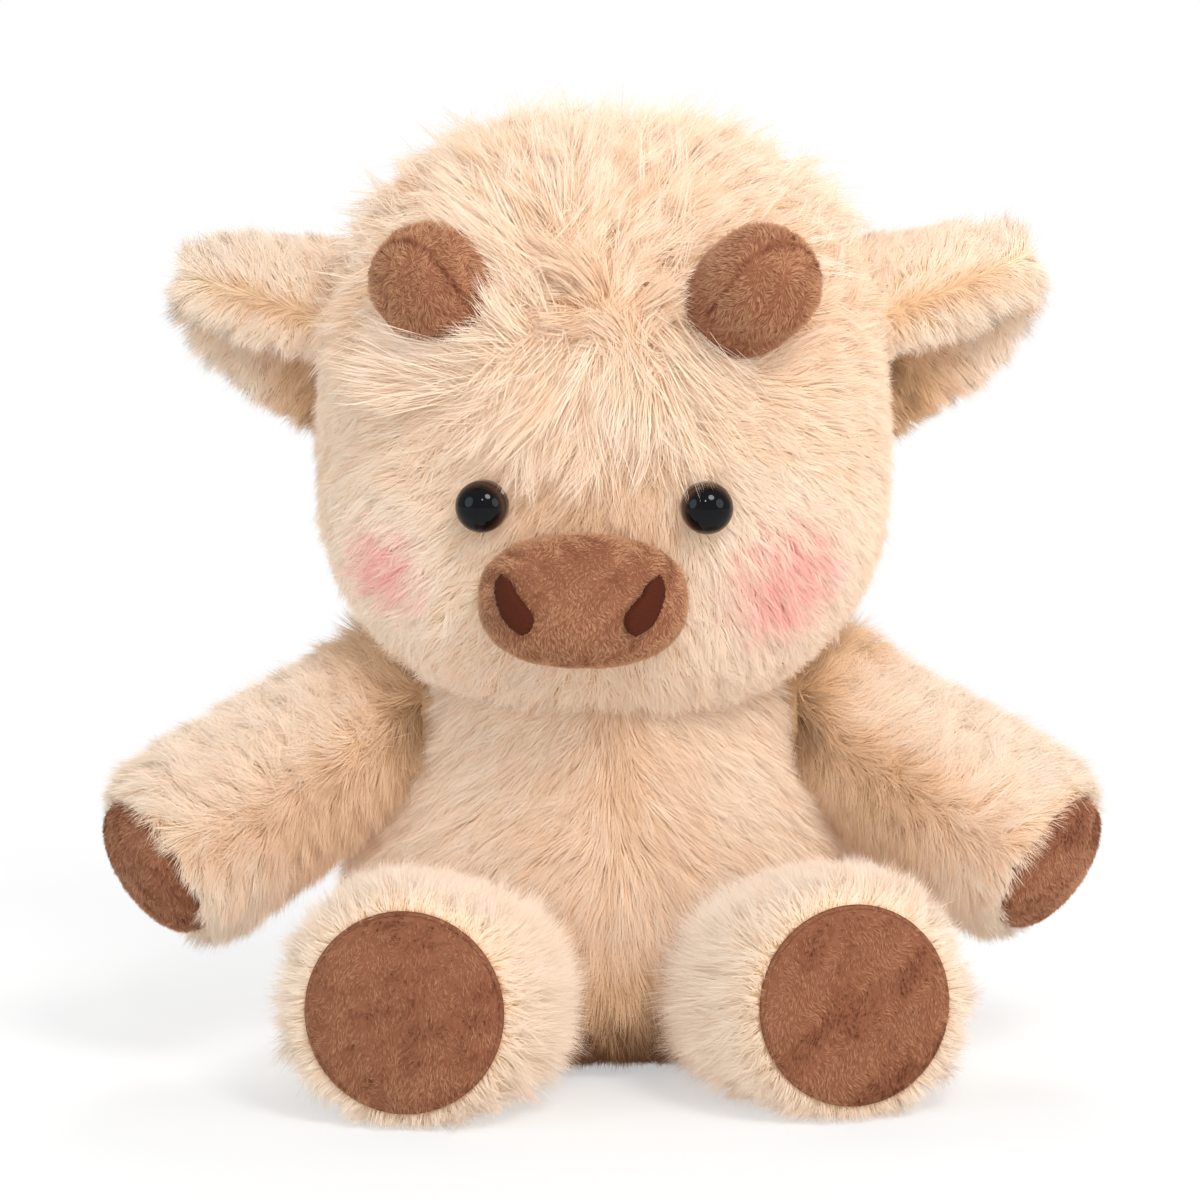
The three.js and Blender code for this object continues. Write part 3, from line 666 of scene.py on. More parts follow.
def head_comb(points, out):
    """Away from the parting, and down at the back and the cheeks."""
    x, y, z = points.T
    away = from_parting(points)
    gone = norm(away, axis=1, keepdims=True)
    behind = smooth(-15, 40, y)[:, None]
    side = np.sign(x)[:, None] * np.array([1.0, 0, 0])
    low = fade(10, 55, z)[:, None]
    face = (fade(48, 76, z) * (y < 0))[:, None]
    crossed = near(points, PART_TOP * 0.5 + PART_FOOT * 0.5, 30)[:, None]
    ways = unit(away) * smooth(0, 15, gone) + behind * -UP * 1.6
    return ways + side * 0.35 * low + face * -UP * 0.35 + crossed * [-0.25, 0, 0.05]


def crown_share(points):
    """The top of the head, rising toward its middle."""
    _, y, z = points.T
    return smooth(92, 122, z) * fade(10, 50, y)


def topped(points):
    """The crown and the forehead, whose pile is long."""
    _, y, z = points.T
    return smooth(74, 92, z) * fade(-5, 35, y)


def crown_corner(points):
    """The crown's shoulders, left and right, whose pile lies closer."""
    x, _, z = points.T
    return smooth(20, 44, np.abs(x + 2)) * smooth(84, 106, z)


def head_length(points, out):
    _, y, z = points.T
    length = 8.4 + 4.6 * topped(points) + 0.8 * crown_share(points) + 2.5 * smooth(0, 30, y)
    length = length * (1 - 0.42 * crown_corner(points)) * (1 - 0.1 * smooth(118, 130, z))
    length = length * (0.55 + 0.45 * smooth(1.0, 1.35, np.minimum(off_muzzle(points, 0), 2.0)))
    for side in SIDES:
        length = length * (1 - 0.2 * near(points, EYES[side], 12))
    return length


def head_lift(points, out):
    """Steeper along the parting and toward the middle of the crown."""
    gone = norm(from_parting(points), axis=1)
    lift = 34 + 14 * crown_share(points) + 26 * fade(0, 13, gone) - 4 * smooth(0, 30, points[:, 1])
    return lift - 8 * fade(1.0, 1.6, off_muzzle(points, 0)) - 3 * crown_corner(points)


BLUSH = [(on_face(47, -21), 23.0), (on_face(-51, -19), 18.0)]  # the middle and the reach of each
LOCK_TONE = 0.66  # of the long locks over the crown and the forehead


def head_tone(points, out):
    """Painted shade along the parting, around the horns' feet and under the fringe, painted light under the
    chin, and rosy at the cheeks.
    """
    x, y, z = points.T
    away = from_parting(points)
    gone = norm(away, axis=1)
    # Painted shade along the parting (the third term).
    tone = 0.61 + 0.03 * crown_share(points) - 0.07 * fade(0, 9, gone) - 0.05 * topped(points)
    # The last term is painted light that lifts the shade under the chin.
    tone = tone + 0.08 * topped(points) * drift1(points, 14, 19) + 0.05 * fade(2, 22, z)
    # Painted shade under the fringe: a band between the eyes and a patch over the bridge of the face.
    between = fade(8, 26, np.abs(x - 1)) * smooth(32, 42, z) * fade(56, 66, z)
    bridge_shade = np.exp(-(((x - 1) / 24) ** 2) - ((z - 44) / 6) ** 2)
    tone = tone - (0.14 * between + 0.08 * bridge_shade) * (y < 0)
    # Painted shade around the horns' feet.
    for side in SIDES:
        tone = tone - 0.06 * near(points, HORNS[side].origin + HORNS[side].turn[:, 2] * 12, 30)
    for place, radius in BLUSH:
        share = np.exp(-((norm(points - place, axis=1) / radius) ** 2) * 1.2)
        tone = tone + (0.91 - tone) * np.minimum(share * 1.1, 1)
    return tone


backing("head_backing", HEAD, head_skin, "head", "cream_fur",
        ["head_cover", "head_filling", "forelock", "eye_washer_left", "eye_washer_right"])
head_pile = dict(length=head_length, lift=head_lift, comb=head_comb, tone=head_tone)
coat("head_coat_face", HEAD, head_skin, "head", 11, density=4.2, **head_pile, clump=3.2, pull=0.18,
     width=0.26, keep=lambda p: head_open(p) * (1 - topped(p)) * (1 - 0.55 * smooth(-5, 20, p[:, 1])))
coat("head_coat_crown", HEAD, head_skin, "head", 13, density=4.4, **head_pile, sag=0.1, steps=2,
     width=0.19, clump=5.2, pull=0.55, tall=0.24, ruffle=0.46, mottle=0.06, flow=0.6,
     keep=lambda p: head_open(p) * topped(p))
coat("head_tufts", HEAD, head_skin, "head", 14, density=0.75,
     length=lambda p, o: 15.5 * (1 - 0.2 * crown_corner(p)), lift=64, comb=head_comb, tone=LOCK_TONE,
     sag=0.05, steps=2, width=0.21, clump=6.5, pull=0.92, tall=0.2, ruffle=0.5,
     keep=lambda p: head_open(p) * smooth(94, 112, p[:, 2]) * fade(20, 60, p[:, 1]))

FRINGE_FOOT = 61.0  # the fringe's lowest roots, above the neck's pivot


def fringe_keep(points):
    """The middle of the forehead, thinning toward its sides and upward."""
    x, y, z = points.T
    wide = fade(12, 27, np.abs(x))
    up = z - FRINGE_FOOT
    return head_open(points) * wide * smooth(0, 12, up) * fade(14, 42, up) * (y < 0)


coat("head_fringe", HEAD, head_skin, "head", 15, density=3.4, lift=25, tone=LOCK_TONE,
     length=lambda p, o: 19.0 - 0.1 * np.abs(p[:, 0] - 2) + 0.12 * (p[:, 2] - FRINGE_FOOT),
     comb=lambda p, o: head_comb(p, o) * 0.5 - UP * 0.8, sag=0.25, steps=3, width=0.19, clump=5.4,
     pull=0.8, tall=0.28, mottle=0.05, keep=fringe_keep)


def against_horn(points):
    """The share of locks that stand against the low inner side of the cow's right horn."""
    horn = HORNS["right"]
    foot = horn.origin + horn.turn[:, 2] * HORN_SUNK
    aside = points - foot
    aside = aside - horn.turn[:, 2] * dot(aside, horn.turn[:, 2])[:, None]
    gone = norm(aside, axis=1)
    low = smooth(-0.1, 0.5, dot(unit(aside), unit([0.85, 0, -0.5])))
    close = (gone > HORN_RADIUS - 1.5) * fade(HORN_RADIUS + 2, HORN_RADIUS + 9, gone)
    return low * close * (points[:, 1] < 0)


coat("head_locks", HEAD, head_skin, "head", 17, density=14.0, length=24.0, lift=52, comb=[-1.0, 0, 0.45],
     tone=LOCK_TONE, sag=0.1, steps=3, width=0.21, clump=4.2, pull=0.6, tall=0.2, stray=0.2, ruffle=0.25,
     bend=0.75, keep=against_horn)

# The muzzle and the nostrils

muzzle_skin = lump(**shrunk(MUZZLE_SIZES, 1.2), rows=56, around=80)
muzzle_skin.points += MUZZLE_MIDDLE


def outside_head(points, margin=-2.0):
    """Whether places lie outside the head's fur, or no deeper in it than a margin."""
    local = points - HEAD_MIDDLE
    share = local[:, 2] / np.where(local[:, 2] > 0, HEAD_SIZES["rise"], HEAD_SIZES["drop"])
    wide = HEAD_SIZES["half_width"] * (1 - HEAD_SIZES["taper_share"] * np.minimum(share, 0) ** 2)
    power, depth = HEAD_SIZES["squareness"], HEAD_SIZES["half_depth"]
    total = np.abs(local[:, 0] / wide) ** power + np.abs(local[:, 1] / depth) ** power
    total = total + np.abs(share) ** power
    return (total ** (1 / power) - 1) * depth > margin


def muzzle_tone(points, out):
    """Lighter at the rim, and darker across the top and in the low middle."""
    x, _, z = points.T
    across = (x - MUZZLE_MIDDLE[0]) / MUZZLE_SIZES["half_width"]
    up = (z - MUZZLE_MIDDLE[2]) / MUZZLE_SIZES["rise"]
    rim = np.hypot(across, up)
    tone = 0.97 + 0.08 * smooth(0.74, 1.0, rim) + 0.12 * drift1(points, 12, 23)
    tone = tone - 0.17 * np.exp(-(((up - 0.45) / 0.3) ** 2)) * fade(0.7, 0.95, rim)
    return tone - 0.22 * np.exp(-(((across + 0.15) / 0.28) ** 2) - ((up + 0.7) / 0.25) ** 2)


NOSTRIL_SPREAD, NOSTRIL_UP, NOSTRIL_STITCHES = 15.0, 0.4, 30
# A nostril's edges toward the cheek and toward the middle, by height from its foot to its point
NOSTRIL_HEIGHTS = [-6.7, -6.1, -4.8, -3, -1, 1, 3, 4.8, 6.0, 6.6]
NOSTRIL_CHEEK = [-1.0, 0.6, 2.0, 3.2, 4.0, 4.5, 4.6, 4.3, 3.7, 2.9]
NOSTRIL_MIDDLE = [-1.0, -2.5, -3.6, -4.1, -3.6, -1.9, -0.1, 0.9, 1.7, 2.9]


def in_nostril(points, grow):
    """Whether places lie within a nostril's outline, grown by some millimetres."""
    inside = np.zeros(len(points), bool)
    for sign in SIDES.values():
        x = (points[:, 0] - MUZZLE_MIDDLE[0]) * sign - NOSTRIL_SPREAD
        z = points[:, 2] - MUZZLE_MIDDLE[2] - NOSTRIL_UP
        cheek = np.interp(z, NOSTRIL_HEIGHTS, NOSTRIL_CHEEK, left=-9, right=-9)
        middle = np.interp(z, NOSTRIL_HEIGHTS, NOSTRIL_MIDDLE, left=9, right=9)
        inside |= (x < cheek + grow) & (x > middle - grow)
    return inside & (points[:, 1] < MUZZLE_MIDDLE[1])


backing("muzzle_backing", HEAD, muzzle_skin, "head", "brown_plush", ["muzzle_cover", "muzzle_filling"],
        inset=0.3)
short_pile("muzzle_pile", HEAD, muzzle_skin, "head", 21, muzzle_tone, length=1.6, density=9.5, width=0.17,
           mottle=0.12, keep=lambda p: outside_head(p) & ~in_nostril(p, -0.3))


def thread(points, radius, around=6, squash=1.0):
    """A tube along a line of points; returns its points and quads."""
    ways = unit(np.gradient(points, axis=0))
    side = unit(np.cross(ways, FRONT))
    top = np.cross(side, ways)
    turn = np.linspace(0, math.tau, around, endpoint=False)
    ring = np.cos(turn)[None, :, None] * side[:, None]
    ring = ring + np.sin(turn)[None, :, None] * top[:, None] * squash
    return (points[:, None] + ring * radius).reshape(-1, 3), woven(len(points), around)


def stitched_nostril(side, sign):
    """A comma filled with satin stitches that run across it, raised over the pile."""
    rng = np.random.default_rng(31 + sign)
    rows, quads, count = [], [], 0
    for z in np.linspace(NOSTRIL_HEIGHTS[0] + 0.3, NOSTRIL_HEIGHTS[-1] - 0.3, NOSTRIL_STITCHES):
        cheek = np.interp(z, NOSTRIL_HEIGHTS, NOSTRIL_CHEEK) + rng.uniform(0.0, 0.35)
        middle = np.interp(z, NOSTRIL_HEIGHTS, NOSTRIL_MIDDLE) - rng.uniform(0.0, 0.35)
        s = np.linspace(-1, 1, 9)
        x = sign * (NOSTRIL_SPREAD + (cheek + middle) / 2 + s * (cheek - middle) / 2)
        height = z + NOSTRIL_UP + s * 0.5
        reach = front_of(**MUZZLE_SIZES, x=x, z=height)
        proud = 0.1 + 0.7 * np.sqrt(np.maximum(1 - s**2, 0))
        line = MUZZLE_MIDDLE + np.stack([x, -reach - proud, height], axis=1)
        line[[0, -1], 1] += 1.0
        tube, faces = thread(line, 0.31, squash=1.1)
        rows.append(tube)
        quads.append(faces + count)
        count += len(tube)
    points, faces = HEAD.out(np.concatenate(rows)), np.concatenate(quads)
    piece = mesh_object(f"nostril_stitches_{side}", points, faces, nostril_thread, "head")
    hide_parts(f"nostril_{side}")


for side, sign in SIDES.items():
    stitched_nostril(side, sign)

# The eyes

EYE_RIM, EYE_SPOKES = 1.2, 64
for side in SIDES:
    socket = aimed(EYES[side], face_way(EYE_PLACES[side], EYE_UP))
    foot = [[0.01, -3.0], [EYE_RADIUS - 0.6, -3.0], [EYE_RADIUS, -1.5], [EYE_RADIUS, 0.0]]
    profile = np.vstack([foot, rounded(EYE_RADIUS, EYE_RIM, EYE_DOME, 28)])
    eye = spun(profile, around=EYE_SPOKES)
    place = HEAD.carried(socket)
    inward = np.where(profile[:, 1] > EYE_RIM, 1 - profile[:, 0] / EYE_RADIUS, 0.0)
    round_share = np.abs(np.linspace(-1, 1, EYE_SPOKES, endpoint=False))
    uv = np.meshgrid(0.01 + 0.98 * inward, 0.01 + 0.98 * round_share, indexing="ij")
    uv = np.stack(uv, axis=-1).reshape(-1, 2)
    uv[:, 0] += np.tile(NUDGES[[0, 2]], len(profile) * EYE_SPOKES // 2)
    points = place.out(eye.points)
    piece = mesh_object(f"eye_dome_{side}", points, eye.quads, eye_gloss, "head", uv=uv)
    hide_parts(f"eye_{side}")

# The horns

HORN_SEAM = 1.3  # its half width
HORN_NECK = HORN_LENGTH - HORN_TIP  # where the tip starts to round over


def horn_profile(inset):
    """A slim cone with a round tip."""
    radius = HORN_RADIUS - inset
    tip = rounded(radius, HORN_NECK, HORN_TIP - inset, 26)
    side = curve_through([[radius - 0.8, 0.0], [radius - 0.2, 12], [radius, 22]], 6)
    return np.vstack([[[0.01, 0.0], [radius - 0.8, 0.0]], side, tip[1:]])


for side, sign in SIDES.items():
    horn = HORNS[side]
    place = HEAD.carried(horn)
    horn_skin = spun(horn_profile(1.2), around=72)

    def horn_tone(points, out, sign=sign):
        """Painted shade low down by the head's fur and a painted lighter upper side, and darker along a
        bowed seam over the tip.
        """
        x, y, z = points[:, 0] * sign, points[:, 1], points[:, 2]
        seam = fade(0.2, HORN_SEAM, np.abs(y - 5 + 0.045 * (x - 2) ** 2))
        branch = fade(0.2, HORN_SEAM, np.abs(x - 5 - 0.5 * (y - 5))) * (y > 4.5)
        lines = np.maximum(seam * (z > HORN_NECK - 6), branch * (z > HORN_NECK))
        return 0.84 - 0.2 * fade(14, 24, z) + 0.05 * y / HORN_RADIUS - 0.55 * lines

    backing(f"horn_backing_{side}", place, horn_skin, "head", "brown_plush",
            [f"horn_cover_{side}", f"horn_filling_{side}"], inset=0.3)
    short_pile(f"horn_pile_{side}", place, horn_skin, "head", 41 + sign, horn_tone, lean=-UP,
               keep=lambda p, horn=horn: outside_head(horn.out(p), -3.0))

# The ears: a thick leaf folded over, with its open side down

EAR_LENGTH, EAR_THICK, EAR_FOLD, EAR_FRONT, EAR_BACK = 58.0, 12.0, 8.5, 25.0, 40.0
EAR_TIP_SHARE, EAR_BLUNT = 0.2, 3.0
EAR_SUNK, EAR_UP, EAR_BEHIND = 20.0, 40.0, 4.0
EAR_LIFT = {"left": 11.0, "right": 6.0}
EAR_TRIM, EAR_RISE = 8.5, 0.5  # the front flap stops sooner below its pile, the more the nearer the tip
EAR_INSET = 1.6  # the backing lies this far under the solid's fur
EAR_LAST = 0.98  # the last section's share of the length, before the tip closes


def ear_section(share, inset):
    """The ear's closed outline across it, from its fold down its front flap and its back one."""
    spread = math.sqrt(1 - share**EAR_BLUNT)
    swell = EAR_TIP_SHARE + (1 - EAR_TIP_SHARE) * spread
    half, fold = EAR_THICK / 2 * swell, EAR_FOLD * swell
    front = (EAR_FRONT - EAR_THICK / 2 - EAR_TRIM) * spread * (1 - EAR_RISE * share**2)
    back = (EAR_BACK * (1 - share) + EAR_FRONT * share - EAR_THICK / 2) * spread
    inset = min(inset, half * 0.6)
    outer, inner = fold + half - inset, fold - half + inset
    points = []

    def arc(middle, radius, start, end, steps, drop):
        for turn in np.linspace(start, end, steps):
            points.append([middle + radius * math.cos(turn), radius * math.sin(turn) - drop])

    def side(x, start, end, steps):
        for height in np.linspace(start, end, steps)[1:-1]:
            points.append([x, -height])

    lip, radius = (outer + inner) / 2, (outer - inner) / 2
    arc(0, outer, 0, math.pi, 16, 0)
    side(-outer, 0, front, 10)
    arc(-lip, radius, math.pi, math.tau, 9, front)
    side(-inner, front, 0, 10)
    arc(0, inner, math.pi, 0, 10, 0)
    side(inner, 0, back, 12)
    arc(lip, radius, math.pi, math.tau, 9, back)
    side(outer, back, 0, 12)
    return np.array(points)


def ear_form():
    """The points and quads of an ear, along the first axis from its root."""
    rows = []
    for share in np.linspace(0, EAR_LAST, 34):
        loop = ear_section(share, EAR_INSET)
        rows.append(np.column_stack([np.full(len(loop), EAR_LENGTH * share), loop]))
    tip = rows[-1].mean(0) + [EAR_LENGTH * (1 - EAR_LAST) * 0.5, 0, 0]
    rows.append(np.tile(tip, (len(rows[0]), 1)) + (rows[-1] - rows[-1].mean(0)) * 0.25)
    rows.append(np.tile(tip + [0.5, 0, 0], (len(rows[0]), 1)))
    points = np.concatenate(rows)
    return points, woven(len(rows), len(rows[0]))


head_power = HEAD_SIZES["squareness"]
head_edge = (1 - (EAR_UP / HEAD_SIZES["rise"]) ** head_power) ** (1 / head_power)
EAR_ROOT = np.array([HEAD_SIZES["half_width"] * head_edge, EAR_BEHIND, HEAD_MIDDLE[2] + EAR_UP])


def over_crease(points):
    """How far above the front flap's parting a place is; the parting climbs toward the tip."""
    x, _, z = points.T
    return z + 5.0 - 0.2 * (np.abs(x) - 22)


def ear_tone(points, out):
    """Painted shade in the parting of the front flap, in the fold and toward the root."""
    x, y, z = points.T
    reach = np.abs(x)
    front = y < -2
    parting = fade(0, 3.2, np.abs(over_crease(points)))
    fold_shade = (y > -EAR_FOLD) & (out[:, 1] < 0.2) & (z < 1)
    tone = 0.71 - 0.26 * parting * front * fade(40, 52, reach)
    tone = tone - fold_shade * (0.03 + 0.38 * fade(20, 40, reach))
    return tone - 0.1 * fade(18, 30, reach)


for side, sign in SIDES.items():
    points, quads = ear_form()
    flip = np.array([sign, 1, 1])
    ear_turn = turned(-EAR_LIFT[side] * sign, 1)
    ear_place = HEAD.carried(Place((EAR_ROOT - [EAR_SUNK, 0, 0]) * flip, ear_turn))
    ear_skin = Skin(points * flip, quads if sign > 0 else quads[:, ::-1])

    def ear_comb(points, out, sign=sign):
        """Outward along the ear, up above the parting and down below it."""
        above = smooth(-1.5, 1.5, over_crease(points))
        rise = np.where(points[:, 1] < EAR_FOLD / 2, 2 * above - 1, -0.8)
        return np.stack([np.full(len(points), sign * 0.6), 0 * rise, rise], axis=1)

    def ear_length(points, out):
        x, y, z = points.T
        length = 6.0 + 2.5 * smooth(26, 44, np.abs(x)) + 1.5 * smooth(18, 30, -z)
        return length * (1 - 0.15 * smooth(9, 16, -z) * (y < 0))

    body = f"ear_{side}"
    backing(f"ear_backing_{side}", ear_place, ear_skin, body, "cream_fur", [f"ear_{side}"], inset=0.3)
    coat(f"ear_coat_{side}", ear_place, ear_skin, body, 61 + sign, density=4.8, length=ear_length, lift=46,
         comb=ear_comb, tone=ear_tone, width=0.22, clump=3.2, pull=0.2,
         keep=lambda p: np.abs(p[:, 0]) > EAR_SUNK - 6)

# The torso

# Its half widths at the base, the belt and the top, and its depth as a share of its width
TORSO_BASE, TORSO_BELT, TORSO_TOP, TORSO_DEPTH = 38.0, 68.0, 50.0, 0.74
torso_knots = [
    [0.01, 1.0], [TORSO_BASE * 0.6, 1.0], [TORSO_BASE - 3, 1.8],
    [TORSO_BELT - 17, 7], [TORSO_BELT - 7, 18], [TORSO_BELT - PILE_DEPTH, 31], [TORSO_BELT - 7, 48],
    [TORSO_TOP + 4.5, 64], [TORSO_TOP - 1, 79], [TORSO_TOP - PILE_DEPTH, 93], [TORSO_TOP - 11, 98.5],
    [TORSO_TOP * 0.5, 99.5], [0.01, 100.0]]
TORSO_PARTED = 3.0  # how far back the front's finer pile reaches
torso_skin = spun(curve_through(torso_knots, 6), around=112, depth_share=TORSO_DEPTH)


def torso_keep(points):
    """Not under the head nor in the hips, and thinner toward the back."""
    _, y, z = points.T
    hidden = z > 97
    for sign in SIDES.values():
        hip = JOINTS["hip_left"] * [sign, 1, 1]
        hidden |= (norm(points - hip, axis=1) < 23) & (y < -14)
    return (~hidden) * (1 - 0.35 * smooth(0, 25, y))


def torso_comb(points, out):
    """Down, and away from the middle of the front."""
    x, y, z = points.T
    side = np.sign(x) * smooth(0, 6, np.abs(x)) * (y < 20)
    spread = 1.05 * side * (0.35 + 0.65 * smooth(20, 95, z))
    return np.stack([spread, 0 * spread, -1 + 0 * spread], axis=1)


def torso_tone(points, out):
    """Painted shade along the parting, beside the arms and, the most, between the legs."""
    x, y, z = points.T
    # Painted shade along the parting, low down between the legs and beside the arms.
    part = fade(0, 7, np.abs(x)) * (y < 0) * smooth(45, 90, z)
    low = fade(5, 44, z)
    pale = 0.07 * smooth(10, 28, np.abs(x))
    beside = smooth(44, 62, np.abs(x)) * smooth(50, 70, z)
    shade = (0.66 * low + 0.3 * beside) * (y < 0)
    return 0.59 + pale - 0.14 * part - shade + 0.03 * drift1(points, 30, 5)


def torso_length(points, out):
    z = points[:, 2]
    return 11.5 - 5 * fade(2, 22, z) - 2 * smooth(80, 96, z)


backing("torso_backing", WORLD, torso_skin, "torso", "cream_fur",
        ["torso_cover", "torso_filling", "pellet_pouch", "neck_tube"])
torso_pile = dict(length=torso_length, comb=torso_comb, tone=torso_tone)
coat("torso_coat", WORLD, torso_skin, "torso", 71, density=4.4, lift=32, **torso_pile, sag=0.2, ruffle=0.22,
     width=0.24, clump=3.4, pull=0.22, keep=lambda p: torso_keep(p) * (p[:, 1] < TORSO_PARTED))
coat("torso_coat_back", WORLD, torso_skin, "torso", 73, density=2.4, lift=34, **torso_pile,
     keep=lambda p: torso_keep(p) * (p[:, 1] >= TORSO_PARTED))

# The limbs: each from its joint along its own axis, with a pad let into its end


def limb_skin(root, length, root_radius, swell_radius, face_radius, end_round):
    """A limb from a root behind its joint to a round end with a flat face."""
    far = length - end_round
    share = np.linspace(0, 1, 18)
    swell = root_radius + (swell_radius - root_radius) * (1 - np.cos(math.pi * share)) / 2
    side = np.stack([swell - PILE_DEPTH, far * share], axis=1)
    arc = np.linspace(0, math.pi / 2, 8)[1:]
    across = swell_radius - face_radius
    rim = face_radius - PILE_DEPTH + across * np.cos(arc)
    end = np.stack([rim, far + (end_round - 2) * np.sin(arc)], axis=1)
    flat = [[face_radius * 0.5, length - 2.2], [0.01, length - 2.2]]
    start = [[0.01, -root], [side[0, 0] * 0.6, -root], [side[0, 0] - 1, -root + 2]]
    return spun(np.vstack([start, side, end, flat]), around=80)


def pad_skin(length, radius, seat, dome):
    """A low dome on a seat let into the limb's end."""
    face = rounded(radius, length, dome, 22)
    return spun(np.vstack([[[0.01, length - seat], [radius, length - seat]], face]), around=72)


PAD_NAP = 1.2  # how far the pile's tips stand over its roots


def pad(name, place, body, length, radius, seat, dome, seed, replaced):
    """A pad's backing and its short pile, whose tips make the pad's face."""

    def pad_tone(points, out):
        # Painted shading across the pad, darker toward one side and lighter toward the other, and painted
        # light at the rim over the shaded seam; the strokes differ at random.
        x, y, _ = points.T
        rim = np.hypot(x, y) / radius
        side_shade = 0.09 * (x + y) / radius
        stroked = 0.4 * drift1(points, 20, seed) + 0.16 * drift1(points, 8, seed + 5)
        return 0.64 - side_shade + 0.16 * smooth(0.94, 1.0, rim) + stroked

    def pad_lean(points, out):
        """Down, and out over the seam at the edge."""
        radial = points * [1, 1, 0]
        edge = smooth(0.93, 1.0, norm(radial, axis=1) / radius)
        return place.into(-UP) * (1 - edge[:, None]) + unit(radial) * 5 * edge[:, None]

    skin = pad_skin(length, radius, seat, dome)
    backing(f"{name}_backing", place, skin, body, "brown_plush", [replaced], inset=1.3)
    inner = Skin(skin.points - skin.out * PAD_NAP, skin.quads)
    short_pile(f"{name}_pile", place, inner, body, seed, pad_tone, mottle=0.16, lightest=0.8,
               lean=pad_lean, keep=lambda p: p[:, 2] > length - 0.5)


def limb_pile(points, radius, length, start):
    """Whether places on a limb's skin are past its start and not under the pad at its end."""
    x, y, z = points.T
    under = (np.hypot(x, y) < radius - 1) & (z > length - 4)
    return ~under & (z > start)


def limb(kind, end, side, place, root, sizes, pad_sizes, seed, **settings):
    """A limb's backing, its coat and the pad at its end."""
    body, skin = f"{kind}_{side}", limb_skin(root, **sizes)
    backing(f"{kind}_backing_{side}", place, skin, body, "cream_fur",
            [f"{kind}_cover_{side}", f"{kind}_filling_{side}"])
    coat(f"{kind}_coat_{side}", place, skin, body, seed, **settings)
    pad(f"{end}_{side}", place, body, sizes["length"], **pad_sizes, seed=seed + 10,
        replaced=f"{end}_pad_{side}")


ARM = dict(length=77.0, root_radius=22.0, swell_radius=25.0, face_radius=21.0, end_round=7.0)
ARM_DROOP, ARM_FORWARD = 28.0, {"left": 34.0, "right": 24.0}
PAW = dict(radius=19.0, seat=2.0, dome=9.0)
for side, sign in SIDES.items():
    way = turned(-ARM_FORWARD[side], 2) @ turned(ARM_DROOP, 1) @ np.array([1.0, 0, 0]) * [sign, 1, 1]
    arm = aimed(JOINTS[f"shoulder_{side}"], way)
    facing = arm.into([0, -1.0, 0.15])
    top = arm.into(UP)

    def arm_comb(points, out, top=top, facing=facing):
        """Along the arm, and away from a loose parting on the side that faces forward."""
        part = np.tanh((dot(out, top) - 0.1) / 0.35) * smooth(-0.3, 0.4, dot(out, facing))
        return np.array([0, 0, 0.75]) + top * part[:, None]

    def arm_tone(points, out, top=top, facing=facing, inner=arm.into([-sign, 0, 0])):
        # Painted shade in the forward parting, at the root by the cheek and on the inner side against the
        # torso; painted light on the top and the underside.
        z = points[:, 2]
        above = dot(out, top)
        part = fade(0, 0.4, np.abs(above - 0.1)) * smooth(0.1, 0.7, dot(out, facing))
        root = fade(4, 20, z) * smooth(-0.4, 0.4, dot(out, facing))
        hidden = smooth(0.25, 0.75, dot(out, inner)) * fade(40, 62, z)
        tone = 0.67 + 0.06 * smooth(0.4, 0.95, above) + 0.14 * smooth(0.3, 0.9, -above)
        return np.minimum(tone, PALEST) - 0.12 * part - 0.36 * root - 0.3 * hidden

    def arm_length(points, out):
        return 11.0 - 4.5 * smooth(60, 76, points[:, 2])

    def arm_keep(points, arm=arm):
        outside_torso = np.abs(arm.out(points)[:, 0]) > 46
        return limb_pile(points, PAW["radius"], ARM["length"], -2) & outside_torso

    limb("arm", "paw", side, arm, 4.0, ARM, PAW, 91 + sign, density=5.4, length=arm_length,
         lift=lambda p, o: 43 - 2 * smooth(58, 72, p[:, 2]), comb=arm_comb, tone=arm_tone, keep=arm_keep,
         width=0.21, clump=3.0, pull=0.17, ruffle=0.33, flow=0.48, tall=0.08, stray=0.3)

LEG = dict(length=65.0, root_radius=27.5, swell_radius=30.5, face_radius=26.0, end_round=6.0)
LEG_SPLAY, LEG_RISE = 13.6, 6.0
SOLE = dict(radius=24.0, seat=2.5, dome=4.5)
for side, sign in SIDES.items():
    leg = aimed(JOINTS[f"hip_{side}"], turned(LEG_SPLAY * sign, 2) @ turned(-LEG_RISE, 0) @ FRONT)

    def leg_comb(points, out):
        """Back along the leg, and outward beside the pad."""
        radial = unit(points * [1, 1, 0])
        rim = smooth(52, 59, points[:, 2])[:, None]
        return np.array([0, 0, 1.0]) * (0.8 * rim - 1) + radial * rim * 0.8

    def leg_length(points, out, inner=leg.into([-sign, 0, -0.3])):
        """Longest on the side toward the belly, and short round the pad, where it stands up."""
        z = points[:, 2]
        behind = fade(52, 62, z)
        aside = dot(out, inner)
        length = 9.2 + (8.5 * smooth(0.1, 0.9, aside) + 4.0 * smooth(0.2, 0.9, -aside)) * behind
        return length - 3.9 * smooth(60, 62.5, z)

    def leg_lift(points, out):
        z = points[:, 2]
        under = fade(-0.85, -0.35, leg.swing(out)[:, 2])
        return 56 + 10 * smooth(40, 58, z) + 18 * smooth(60, 62.5, z) - 40 * under

    limb("leg", "sole", side, leg, 8.0, LEG, SOLE, 111 + sign, density=5.6, length=leg_length,
         lift=leg_lift, comb=leg_comb, tone=PALEST, width=0.21, clump=2.8, pull=0.16, ruffle=0.34,
         tall=0.08, stray=0.38, sag=0.05, keep=lambda p: limb_pile(p, SOLE["radius"], LEG["length"], -6))

# The tail

